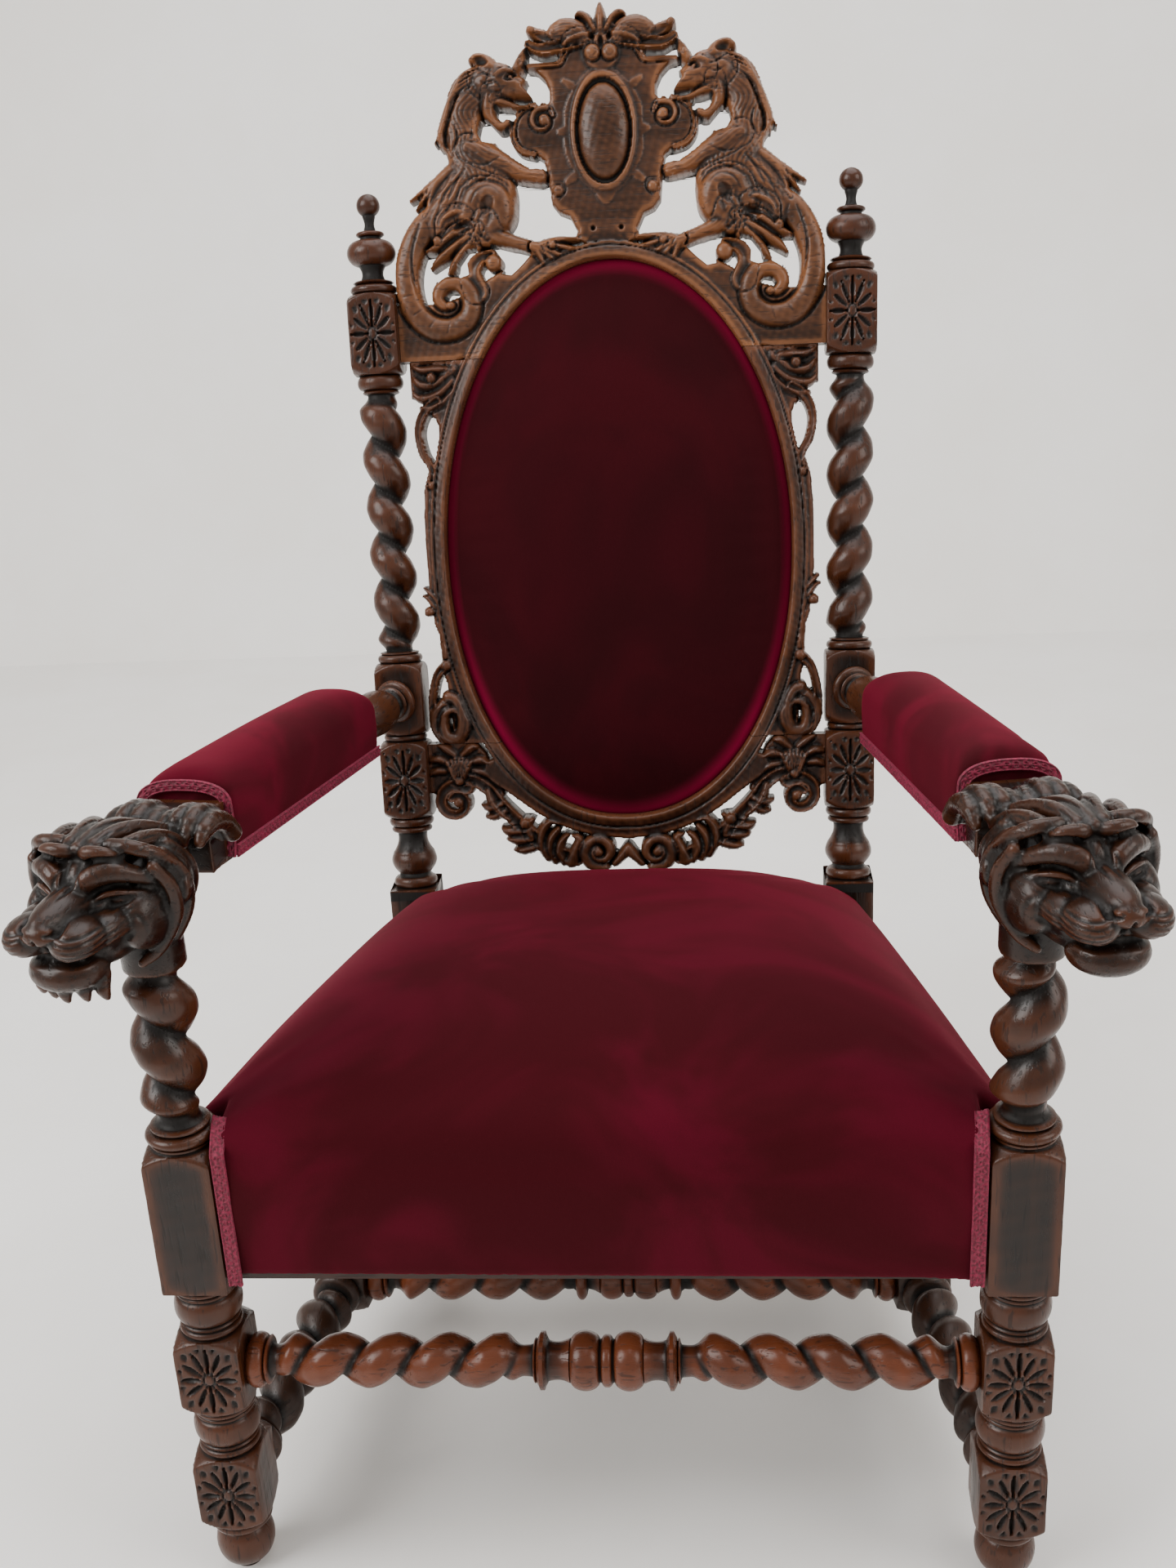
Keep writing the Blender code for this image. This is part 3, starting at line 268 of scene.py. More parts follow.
oak_figure.links.new(ramp(oak_figure, flecks.outputs["Fac"], 0.57, 0.68), result.inputs["Pores"])
oak_figure.links.new(ramp(oak_figure, mottle.outputs["Fac"], 0.34, 0.66), result.inputs["Patina"])
print("group", oak_figure.name)

# %% [markdown]
# The same oak has several looks here. The posts and lions are nearly black-brown, the carved
# back is paler and redder, and the front stretcher, where feet have rubbed it, is reddest.
# Two numbers stored on each mesh, "hollow" and one for the raised spots, say how deep a point lies
# in a recess and how far it stands out. Recesses get painted shade, near black, and raised spots
# are painted lighter and redder, partly as rubbed wear and partly as a painted highlight.

# %% Oak finishes


def oak(name, grain_axis, dark, middle, rubbed, gloss):
    """Waxed oak with its grain along one axis."""
    material, tree, shader, place = new_finish(name, Specular_IOR_Level=0.3, Coat_Weight=0.03,
                                               Coat_Roughness=0.22)
    stretch = [1.0, 1.0, 1.0]
    stretch["XYZ".index(grain_axis)] = 0.09
    along = node(tree, "ShaderNodeMapping", {"Vector": place, "Scale": stretch}).outputs["Vector"]
    figure = node(tree, "ShaderNodeGroup", node_tree=oak_figure)
    tree.links.new(along, figure.inputs["Along"])
    tree.links.new(place, figure.inputs["Place"])
    grain, pores, patina = (figure.outputs[key] for key in ("Grain", "Pores", "Patina"))
    hollow = stored(tree, "hollow")
    # Raised spots: real rubbing, plus a painted highlight that lightens and reddens them
    rub_and_highlight = multiplied(tree, stored(tree, "worn"), multiplied(tree, patina, -0.45, 1.0), clamp=True)
    ground = blend_colours(tree, grain, (*dark, 1), (*middle, 1))
    ground = blend_colours(tree, multiplied(tree, patina, 0.45), ground, (*dark, 1))
    ground = blend_colours(tree, rub_and_highlight, ground, (*rubbed, 1))
    pore_dark = tuple(value * 0.4 for value in dark) + (1,)
    ground = blend_colours(tree, multiplied(tree, pores, 0.55), ground, pore_dark)
    # Painted shade: recesses are blended towards near black
    ground = blend_colours(tree, hollow, ground, (0.0035, 0.0022, 0.0016, 1))
    rough = multiplied(tree, hollow, 0.35, multiplied(tree, grain, 0.12, gloss))
    rough = multiplied(tree, pores, 0.15, rough, clamp=True)
    tree.links.new(rough, shader.inputs["Roughness"])
    colour_and_bump(tree, shader, ground, multiplied(tree, pores, -1.0, grain), 0.35, 0.0004)
    return material


post_oak = oak("post_oak", "Z", (0.0046, 0.002, 0.0011), (0.0145, 0.0052, 0.0024), (0.06, 0.018, 0.0068),
               0.25)
cross_oak = oak("cross_oak", "X", (0.013, 0.0038, 0.0018), (0.042, 0.0115, 0.0048),
                (0.12, 0.032, 0.0125), 0.24)
side_oak = oak("side_oak", "Y", (0.0052, 0.0028, 0.0017), (0.0135, 0.0064, 0.0036),
               (0.038, 0.0145, 0.0072), 0.32)
crest_oak = oak("crest_oak", "X", (0.017, 0.0062, 0.0026), (0.066, 0.0235, 0.009), (0.18, 0.07, 0.028),
                0.28)
stile_oak = oak("stile_oak", "Z", (0.0105, 0.0038, 0.0018), (0.036, 0.012, 0.0052),
                (0.105, 0.037, 0.016), 0.3)
lion_oak = oak("lion_oak", "Y", (0.0036, 0.0018, 0.0011), (0.0105, 0.0042, 0.0021),
               (0.062, 0.0195, 0.0076), 0.25)

# %% Read the hollows and the high spots off a mesh


def neighbour_mean(points, first, second, count):
    """The mean of each point's neighbours along the mesh's edges."""
    total = np.empty_like(points)
    for axis in range(3):
        total[:, axis] = (np.bincount(first, points[second, axis], len(points))
                          + np.bincount(second, points[first, axis], len(points)))
    return total / count[:, None]


def read_wear(piece, rounds=10, depth=0.0007):
    """Store how hollow each point lies and how far it stands out; finishes paint shade and highlights from
    these.
    """
    mesh = piece.data
    ends = np.empty(len(mesh.edges) * 2, dtype=np.int64)
    mesh.edges.foreach_get("vertices", ends)
    first, second = ends.reshape(-1, 2).T
    points = points_of(piece)
    count = np.maximum(np.bincount(first, minlength=len(points))
                       + np.bincount(second, minlength=len(points)), 1)
    normals = np.empty(len(points) * 3)
    mesh.vertices.foreach_get("normal", normals)
    normals = normals.reshape(-1, 3)
    soft = points
    swell = np.zeros(len(points))
    for step in range(rounds * 4):
        soft = neighbour_mean(soft, first, second, count)
        if step + 1 == rounds:
            swell += ((soft - points) * normals).sum(1) / depth
    swell = swell * 0.7 + ((soft - points) * normals).sum(1) / (depth * 3) * 0.5
    # The first number drives painted shade in recesses; the second, rubbed wear plus a painted highlight
    # on raised spots
    for name, values in (("hollow", swell), ("worn", -swell)):
        layer = mesh.attributes.new(name, "FLOAT", "POINT")
        layer.data.foreach_set("value", np.clip(values, 0, 1).astype(np.float32))


def give(piece, material, replaced):
    """Finish a piece: its material, its CAD node and the body it rides on."""
    piece.data.materials.clear()
    piece.data.materials.append(material)
    if replaced:
        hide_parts(replaced)
    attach(piece, "root")
    print(piece.name, len(piece.data.polygons), "faces")


print("wear reader ready")

# %% [markdown]
# Turned work is a flat grid rolled round its axis. Each row of the grid is one cut of the
# turner's gouge: a distance along the axis with a turned radius, the square stock it is cut
# from, and how much of the barley twist it has. Spin would give the beads, but not the
# square blocks with arched shoulders or the twist, so the rows carry all three.

# %% Rows of a turning


def straight(start, end, first, last, count=4):
    """A straight or slightly tapering run."""
    return [(d, r, 1, 0) for d, r in zip(np.linspace(start, end, count), np.linspace(first, last, count))]


def bead(start, end, radius, inner, count=9):
    """A half-round moulding that stands out from the inner radius."""
    angles = np.linspace(0.12, math.pi - 0.12, count)
    middle = (start + end) / 2
    return [(middle - (end - start) / 2 * math.cos(a), inner + (radius - inner) * math.sin(a), 1, 0)
            for a in angles]


def cove(start, end, first, last, depth, count=8):
    """A hollow curve between two radii."""
    shares = np.linspace(0, 1, count)
    return [(start + (end - start) * s, first + (last - first) * s - depth * math.sin(math.pi * s), 1, 0)
            for s in shares]


def block(bottom, top, half, shoulders=(1, 1), step=0.0017):
    """A square block; a shoulder of 1 is arched and one of 0 is cut off flat."""
    corner = half * math.sqrt(2) * 1.02
    reach = (corner - half) * 1.1
    rows = []
    if shoulders[0]:
        rows += [(bottom + reach * s, half * 0.99 + (corner - half * 0.99) * math.sin(math.pi / 2 * s),
                  half, 0) for s in np.linspace(0, 1, 9)]
    else:
        rows += [(bottom, half, half, 0), (bottom + 0.0003, corner - 0.002, half, 0),
                 (bottom + 0.0016, corner, half, 0)]
    low = rows[-1][0]
    high = top - reach if shoulders[1] else top - 0.0016
    rows += [(d, corner, half, 0) for d in np.linspace(low, high, max(3, int((high - low) / step)))[1:]]
    if shoulders[1]:
        rows += [(top - reach * s, half * 0.99 + (corner - half * 0.99) * math.sin(math.pi / 2 * s),
                  half, 0) for s in np.linspace(1, 0, 9)[1:]]
    else:
        rows += [(top - 0.0003, corner - 0.002, half, 0), (top, half, half, 0)]
    return rows


def barley(start, end, neck, step=0.0017):
    """A barley twist that grows out of a neck at each end."""
    count = max(8, int((end - start) / step))
    grow = 0.016
    return [(d, neck, 1, min(1, (d - start) / grow, (end - d) / grow))
            for d in np.linspace(start, end, count)]


def turned_points(rows, angles, twist):
    """Points (rows, angles, 3) round a Z axis; angle 0 looks to the front."""
    distance, radius, half, share = (column[:, None] for column in np.array(rows).T)
    angle = angles[None, :]
    c = np.abs(np.cos(angle))
    s = np.abs(np.sin(angle))
    square = half / (c ** 34 + s ** 34) ** (1 / 34)
    plain = np.minimum(radius, square)
    hand, groove, pitch, outer, core = twist
    spin = hand * angle - 2 * np.pi * (distance - groove) / pitch + np.pi
    strand = core + (outer - core) * np.sqrt(np.cos(spin / 2) ** 2 + 0.0035) ** 0.82
    ease = share * share * (3 - 2 * share)
    reach = plain + (strand - plain) * ease
    worked = 0.00018 * np.sin(distance * 171 + angle * 2) + 0.00012 * np.sin(distance * 393 - angle * 3)
    reach = reach + worked * (0.4 + ease)
    return np.stack([reach * np.sin(angle), -reach * np.cos(angle), distance + 0 * angle], axis=2)


print("turning rows ready")

# %% [markdown]
# The rosettes are chip carved: twelve lens-shaped chips are cut down into the flat face round
# a small button, with smaller chips between their tips. Such a chip is deepest along its
# middle line, so its depth is worked out from the angle and the distance from the button.

# %% A chip-carved rosette and the lathe grid


def rosette_depth(x, z, half, tall):
    """How deep the rosette is cut at a point of the face, from 0 to 1."""
    stretch = tall / half
    radius = np.hypot(x, z / stretch) / half
    angle = np.arctan2(z / stretch, x)
    wave = np.abs(((angle / (2 * np.pi) * 12 + 0.5) % 1.0) - 0.5) * 2
    span = np.clip((radius - 0.17) / 0.72, 0, 1)
    width = 0.78 * np.sin(np.pi * span ** 0.8) * 0.9
    chip = np.clip(1 - wave / np.maximum(width, 0.02), 0, 1) * (span > 0) * (span < 1)
    between = np.abs(((angle / (2 * np.pi) * 12) % 1.0) - 0.5) * 2
    tip_span = np.clip((radius - 0.8) / 0.26, 0, 1)
    tips = np.clip(1 - between / np.maximum(0.5 * np.sin(np.pi * tip_span), 0.02), 0, 1) * (radius > 0.8)
    inside = (np.abs(x) < half * 0.9) & (np.abs(z) < tall * 0.9)
    ring = np.clip(1 - np.abs(radius - 0.17) / 0.05, 0, 1) * 0.5
    return np.maximum(np.maximum(chip, tips * 0.6), ring) * inside


def cut_rosette(points, centre, half, tall, depth):
    """Cut a rosette into the front face of a block."""
    x = points[:, :, 0]
    z = points[:, :, 2] - centre
    face = (np.abs(x) < half) & (np.abs(z) < tall) & (points[:, :, 1] < -half * 0.9)
    points[:, :, 1] += np.where(face, depth * rosette_depth(x, z, half, tall), 0)


def columns(half, fine, coarse):
    """Column angles: close together across the front face, wider elsewhere."""
    front = np.arctan(np.linspace(-1, 1, fine))
    rest = [quarter * np.pi / 2 + np.arctan(np.linspace(-1, 1, coarse))[1:] for quarter in (1, 2, 3)]
    return np.concatenate([front] + rest)


def close_roll(name, points, rows, angles, wear=True):
    """Add a grid, give it the points of a rolled skin, sew its seam and close its ends."""
    piece = new_grid(name, angles - 1, rows - 1)
    set_points(piece, points)
    edit(lambda: bpy.ops.mesh.remove_doubles(threshold=1e-6), lambda: bpy.ops.mesh.fill_holes(sides=0),
         lambda: bpy.ops.mesh.select_all(action="SELECT"),
         lambda: bpy.ops.mesh.normals_make_consistent(inside=False))
    if wear:
        bpy.ops.object.shade_smooth_by_angle(angle=math.radians(50))
        read_wear(piece)
    return piece


def turning(name, rows, angles, twist, matrix, rosettes=(), ends=None):
    """Roll a grid into a turned piece, cut its rosettes and close its ends."""
    points = turned_points(rows, angles, twist)
    for centre in rosettes:
        cut_rosette(points, centre, block_half, 0.037, 0.0042)
    if ends is not None:
        points = ends(points)
    points = points.reshape(-1, 3) @ np.array(matrix.to_3x3()).T + np.array(matrix.translation)
    return close_roll(name, points, len(rows), len(angles))


print("lathe ready")

# %% [markdown]
# The front posts go from the foot's pin through two rosette blocks and the plain seat block
# to the twist that carries the lion. Their twists run opposite ways, left and right.

# %% Front posts
front_x = 0.341
block_half = 0.0287
arm_height = 0.674
post_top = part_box("front_post_right")[1].z


def link_rows(low):
    """The turned link between two blocks: ring, barrel and ring."""
    return (straight(low, low + 0.001, 0.0262, 0.025, 2)
            + bead(low + 0.0012, low + 0.0075, 0.0272, 0.0235, 6)
            + bead(low + 0.0085, low + 0.0125, 0.0262, 0.0235, 5)
            + bead(low + 0.0135, low + 0.0375, 0.0292, 0.024, 12)
            + bead(low + 0.0385, low + 0.0425, 0.0262, 0.024, 5)
            + bead(low + 0.0435, low + 0.049, 0.0278, 0.0245, 6))


front_rows = (straight(0, 0.006, 0.0125, 0.0138, 3) + bead(0.0065, 0.047, 0.0262, 0.014, 14)
              + bead(0.0475, 0.057, 0.0272, 0.0225, 7)
              + block(0.058, 0.1345, block_half) + link_rows(0.1345)
              + block(0.1845, 0.261, block_half) + link_rows(0.261)
              + block(0.311, 0.445, block_half, (0, 1))
              + straight(0.4453, 0.4462, 0.0262, 0.0255, 2)
              + bead(0.4465, 0.45, 0.0268, 0.0245, 4)
              + bead(0.4502, 0.46, 0.0298, 0.0235, 9)
              + bead(0.4605, 0.4655, 0.0248, 0.019, 6)
              + cove(0.4658, 0.4725, 0.019, 0.0165, 0.0012, 5)
              + barley(0.473, post_top - 0.0004, 0.0165, 0.0016)
              + [(post_top, 0.012, 1, 0)])
post_columns = columns(block_half, 37, 13)
for side, label, groove in ((-1, "left", 0.5025), (1, "right", 0.5245)):
    place = Matrix.Translation((side * front_x, front_y, 0))
    post = turning("front_post_" + label + "_turned", front_rows, post_columns,
                   (side, groove, 0.0545, 0.0288, 0.013), place, (0.0962, 0.2224))
    give(post, post_oak, "front_post_" + label)

# %% [markdown]
# The rear posts lean back above the seat. The leg below is upright, so the piece has two
# straight runs, joined inside the seat block. The mushroom cap and ball finish the top.

# %% Rear posts
rake = math.radians(11.55)
spread = 0.017
rear_x = 0.251
post_depth = 0.6015
rear_y = front_y + post_depth
rear_half = 0.027
joint_height = 0.4
back_plane = Matrix.Translation((0, rear_y, joint_height)) @ Matrix.Rotation(-rake, 4, "X")

leg_rows = (straight(0, 0.006, 0.0125, 0.0138, 3) + bead(0.0065, 0.045, 0.0252, 0.014, 12)
            + bead(0.0455, 0.054, 0.025, 0.0215, 6)
            + block(0.055, 0.137, rear_half, (1, 1), 0.004)
            + bead(0.1375, 0.15, 0.024, 0.02, 6)
            + cove(0.151, 0.212, 0.0165, 0.024, 0.0015, 12)
            + cove(0.213, 0.24, 0.0238, 0.0165, 0.001, 7)
            + bead(0.2415, 0.2615, 0.024, 0.019, 7)
            + block(0.262, 0.415, rear_half, (1, 0), 0.006)[:-3])
upright_rows = (block(-0.01, 0.0035, rear_half, (0, 0), 0.005)[2:]
                + bead(0.0045, 0.0165, 0.0252, 0.0215, 8)
                + cove(0.017, 0.0215, 0.021, 0.018, 0.001, 4)
                + cove(0.0215, 0.045, 0.019, 0.024, -0.0045, 12)
                + cove(0.0455, 0.069, 0.024, 0.0172, 0.003, 10)
                + bead(0.0695, 0.0765, 0.0235, 0.0195, 6)
                + bead(0.077, 0.0875, 0.0258, 0.0215, 8)
                + block(0.088, 0.176, rear_half)
                + bead(0.1765, 0.1845, 0.0248, 0.0215, 7)
                + block(0.185, 0.266, rear_half)
                + bead(0.2665, 0.276, 0.0256, 0.0215, 8)
                + bead(0.2762, 0.2795, 0.0225, 0.0185, 4)
                + barley(0.28, 0.566, 0.015, 0.0019)
                + bead(0.567, 0.5715, 0.0205, 0.0165, 5)
                + bead(0.572, 0.5875, 0.0256, 0.0205, 9)
                + block(0.588, 0.675, rear_half)
                + bead(0.6755, 0.685, 0.0258, 0.021, 8)
                + bead(0.6855, 0.6905, 0.0225, 0.015, 5)
                + cove(0.691, 0.706, 0.0135, 0.015, 0.0025, 8)
                + bead(0.7062, 0.734, 0.027, 0.0135, 14)
                + cove(0.7342, 0.737, 0.012, 0.012, 0.0006, 3)
                + bead(0.7372, 0.7432, 0.0158, 0.0105, 6)
                + cove(0.7435, 0.7585, 0.0072, 0.007, 0.0018, 7)
                + [(0.7709 - 0.0126 * math.cos(a), 0.0004 + 0.0126 * math.sin(a), 1, 0)
                   for a in np.linspace(0.55, math.pi, 13)])
rear_columns = columns(rear_half, 33, 11)


def bent(side):
    """Lean the upper run back, and leave the leg upright."""
    lean = np.array((back_plane @ Matrix.Translation((side * rear_x, 0, 0))
                     @ Matrix.Rotation(math.atan(spread) * side, 4, "Y")))

    def shape(points):
        low = points[:len(leg_rows)] + np.array((side * rear_x, rear_y, 0))
        high = points[len(leg_rows):].copy()
        for centre in (0.132, 0.6315):
            cut_rosette(high, centre, rear_half, 0.04, 0.004)
        high = high @ lean[:3, :3].T + lean[:3, 3]
        return np.concatenate([low, high])
    return shape


for side, label, groove in ((-1, "left", 0.352), (1, "right", 0.339)):
    post = turning("rear_post_" + label + "_turned", leg_rows + upright_rows, rear_columns,
                   (side, groove, 0.0532, 0.0258, 0.012), Matrix.Identity(4), (), bent(side))
    give(post, post_oak, "rear_post_" + label)

# %% [markdown]
# Four stretchers tie the legs. The front one is set higher, shows a pair of bulbs between two
# sharp discs, and its twists run towards the middle from both sides. The low ones form an H:
# each side piece has a square block at mid length that takes the cross piece.

# %% Stretchers
upper_axis = 0.2224
lower_axis = 0.0962


def rail_end(length, radius, at_start):
    """The broad ring, thin ring and neck where a twist meets a post."""
    rows = (straight(0, 0.0008, radius * 0.86, radius * 0.9, 2)
            + bead(0.001, 0.015, radius * 1.04, radius * 0.82, 10)
            + bead(0.016, 0.0195, radius * 0.92, radius * 0.7, 5)
            + cove(0.02, 0.0255, radius * 0.62, radius * 0.56, 0.0004, 4))
    if at_start:
        return rows
    return [(length - row[0],) + row[1:] for row in reversed(rows)]


def mirrored(rows, length):
    """The same turning again from the other end."""
    return rows + [(length - row[0],) + row[1:] for row in reversed(rows)]


def laid(start, axis, outward):
    """A frame whose Z runs along the piece and whose angle 0 looks outward."""
    back = -(outward - axis * outward.dot(axis)).normalized()
    side = back.cross(axis)
    return Matrix.Translation(start) @ Matrix((side, back, axis)).transposed().to_4x4()


def two_hands(name, rows, change, matrix, groove, pitch, outer, core, ends=None, angles=None):
    """A stretcher that twists one way up to the change and the other way after it."""
    angles = np.linspace(-np.pi, np.pi, 49) if angles is None else angles
    first = turned_points(rows, angles, (-1, change - groove, pitch, outer, core))
    second = turned_points(rows, angles, (1, change + groove, pitch, outer, core))
    later = (np.array(rows)[:, 0] > change)[:, None, None]
    points = np.where(later, second, first).reshape(-1, 3)
    points = points @ np.array(matrix.to_3x3()).T + np.array(matrix.translation)
    if ends is not None:
        points = ends(points)
    return close_roll(name, points, len(rows), len(angles))


reach = front_x - block_half - 0.0003
half_rows = (rail_end(0, 0.0228, True) + barley(0.026, reach - 0.072, 0.013, 0.0016)
             + straight(reach - 0.0715, reach - 0.064, 0.013, 0.0134, 5)
             + bead(reach - 0.063, reach - 0.0602, 0.0188, 0.015, 5)
             + straight(reach - 0.0598, reach - 0.0572, 0.019, 0.0238, 3)
             + straight(reach - 0.057, reach - 0.0538, 0.0243, 0.0243, 4)
             + straight(reach - 0.0534, reach - 0.0505, 0.0225, 0.0172, 4)
             + cove(reach - 0.05, reach - 0.032, 0.0168, 0.0185, 0.0018, 9)
             + bead(reach - 0.0315, reach - 0.0062, 0.0248, 0.0165, 16)
             + bead(reach - 0.0045, reach + 0.0045, 0.022, 0.018, 9)[:4])
front_rail = two_hands("front_stretcher_turned", mirrored(half_rows, 2 * reach), reach,
                       laid(Vector((-reach, front_y, upper_axis)), Vector((1, 0, 0)), Vector((0, -1, 0))),
                       0.13, 0.0467, 0.023, 0.0106)
give(front_rail, cross_oak, "front_stretcher")


def side_point(side, depth):
    share = depth / post_depth
    return Vector((side * (front_x + (rear_x - front_x) * share), front_y + depth, lower_axis))


def squared(start, end, slant):
    """Slant a stretcher's ends so that they lie flat on what they meet."""
    length = (end - start).length
    axis = np.array((end - start) / length)

    def shape(points):
        distance = (points - np.array(start)) @ axis
        middle = np.array(start) + distance[:, None] * axis
        for edge, sign in ((distance, -1), (length - distance, 1)):
            share = np.clip(1 - edge / 0.03, 0, 1)
            if slant:
                points[:, 0] += sign * (points[:, 1] - start.y) * slant * share
            else:
                points[:, 1] += (middle[:, 1] - points[:, 1]) * share
        return points
    return shape


middle_half = 0.027
for side, label in ((-1, "left"), (1, "right")):
    start = side_point(side, block_half + 0.0003)
    end = side_point(side, post_depth - rear_half - 0.0003)
    length = (end - start).length
    middle = post_depth * 0.477 - block_half
    rows = (rail_end(length, 0.0262, True) + barley(0.026, middle - middle_half - 0.016, 0.015, 0.0022)
            + bead(middle - middle_half - 0.015, middle - middle_half - 0.0005, 0.0252, 0.019, 8)
            + block(middle - middle_half, middle + middle_half, middle_half, (1, 1), 0.005)
            + bead(middle + middle_half + 0.0005, middle + middle_half + 0.015, 0.0252, 0.019, 8)
            + barley(middle + middle_half + 0.016, length - 0.026, 0.015, 0.0022)
            + rail_end(length, 0.0262, False))
    matrix = laid(start, (end - start) / length, Vector((0, 0, 1)))
    rail = two_hands("side_stretcher_" + label + "_turned", rows, -1 if side > 0 else 9, matrix,
                     0.02, 0.048, 0.0264, 0.0123, squared(start, end, 0), columns(middle_half, 13, 13))
    give(rail, side_oak, "side_stretcher_" + label)
    slope = (end - start).normalized()
    block_middle = start + slope * middle

level_reach = abs(block_middle.x) - middle_half / abs(slope.y) - 0.0003
start = Vector((-level_reach, block_middle.y, lower_axis))
end = Vector((level_reach, block_middle.y, lower_axis))
half_rows = (rail_end(0, 0.0262, True) + barley(0.026, level_reach - 0.058, 0.015, 0.0022)
             + bead(level_reach - 0.055, level_reach - 0.043, 0.0262, 0.016, 8)
             + cove(level_reach - 0.042, level_reach - 0.03, 0.015, 0.02, 0.0008, 6)
             + bead(level_reach - 0.0295, level_reach - 0.006, 0.0256, 0.018, 10)
             + bead(level_reach - 0.005, level_reach + 0.005, 0.0236, 0.019, 9)[:4])
cross_rail = two_hands("cross_stretcher_turned", mirrored(half_rows, 2 * level_reach), level_reach,
                       laid(start, Vector((1, 0, 0)), Vector((0, -1, 0))), 0.06, 0.048, 0.0264, 0.0123,
                       squared(start, end, slope.x / slope.y))
give(cross_rail, cross_oak, "cross_stretcher")

# %% [markdown]
# Velvet is a short upright pile. Seen straight on it is nearly black-red, and where the eye
# grazes it the pile's tips light up, so most of its brightness is the shader's sheen. Strokes
# of a hand leave the nap lying several ways, which shows as soft darker and lighter patches.

# %% Velvet and braid finishes
nap_group, given, result = new_group("velvet nap", [("Place", "NodeSocketVector")],
                                     [("Patches", "NodeSocketFloat"), ("Pile", "NodeSocketFloat")])
wide = node(nap_group, "ShaderNodeTexNoise", {"Vector": given.outputs["Place"], "Scale": 5.2,
                                              "Detail": 3.0, "Roughness": 0.55, "Distortion": 0.9})
pile = node(nap_group, "ShaderNodeTexNoise",
            {"Vector": given.outputs["Place"], "Scale": 900.0, "Detail": 2.0, "Roughness": 0.6})
nap_group.links.new(ramp(nap_group, wide.outputs["Fac"], 0.36, 0.64), result.inputs["Patches"])
nap_group.links.new(pile.outputs["Fac"], result.inputs["Pile"])


def velvet(name, deep, bright, sheen, stretch):
    material, tree, shader, place = new_finish(name, Roughness=0.95, Specular_IOR_Level=0.12,
                                               Sheen_Weight=sheen, Sheen_Roughness=0.38,
                                               Sheen_Tint=(0.8, 0.018, 0.1, 1))
    place = node(tree, "ShaderNodeMapping", {"Vector": place, "Scale": stretch}).outputs["Vector"]
    nap = node(tree, "ShaderNodeGroup", node_tree=nap_group)
    tree.links.new(place, nap.inputs["Place"])
    colour = blend_colours(tree, nap.outputs["Patches"], (*deep, 1), (*bright, 1))
    colour = blend_colours(tree, multiplied(tree, nap.outputs["Pile"], 0.35), colour, (*deep, 1))
    # Painted sheen: where a mesh stores it (the oval's rim), the velvet is painted bright raspberry,
    # standing for pile lit at a grazing angle
    colour = blend_colours(tree, stored(tree, "rubbed"), colour, (0.235, 0.0022, 0.036, 1))
    colour_and_bump(tree, shader, colour, nap.outputs["Pile"], 0.25, 0.0005)
    return material


seat_velvet = velvet("seat_velvet", (0.034, 0.0006, 0.003), (0.066, 0.0009, 0.0085), 0.2, (1.0, 1.3, 1.1))
# The oval's copy of the velvet is painted darker than the seat's, standing for the shade of pile seen face
# on
oval_velvet = velvet("oval_velvet", (0.019, 0.0005, 0.0018), (0.032, 0.0007, 0.003), 0.16, (1.0, 1.0, 0.6))
arm_velvet = velvet("arm_velvet", (0.03, 0.0006, 0.0028), (0.082, 0.001, 0.01), 0.22, (1.6, 1.0, 1.6))


def thread(name, dark, bright, sheen=0.15):
    """Matt thread, with painted shade darkening it where the mesh stores a hollow value, as in the gaps of
    a plait.
    """
    material, tree, shader, place = new_finish(name, Roughness=0.7, Sheen_Weight=sheen,
                                               Sheen_Tint=(0.9, 0.15, 0.28, 1))
    twine = node(tree, "ShaderNodeTexNoise", {"Vector": place, "Scale": 420.0,
                                              "Detail": 3.0}).outputs["Fac"]
    colour = blend_colours(tree, ramp(tree, twine, 0.35, 0.65), (*dark, 1), (*bright, 1))
    # Painted shade colour for the gaps
    gap_shade = tuple(value * 0.35 for value in dark) + (1,)
    colour = blend_colours(tree, stored(tree, "hollow"), colour, gap_shade)
    colour_and_bump(tree, shader, colour, twine, 0.4, 0.0004)
    return material


braid_thread = thread("braid_thread", (0.075, 0.0009, 0.011), (0.195, 0.0036, 0.033))
dust_cloth = thread("dust_cloth", (0.012, 0.011, 0.011), (0.03, 0.028, 0.027), 0.02)

# %% [markdown]
# Stuffing pushes velvet outwards until its weave holds it. Each pad is built a little slack
# and a cloth simulation with air pressure inside plumps it; points near a nailed edge are
# held, and no point may travel further than a few millimetres.

# %% Plump a pad with a cloth simulation


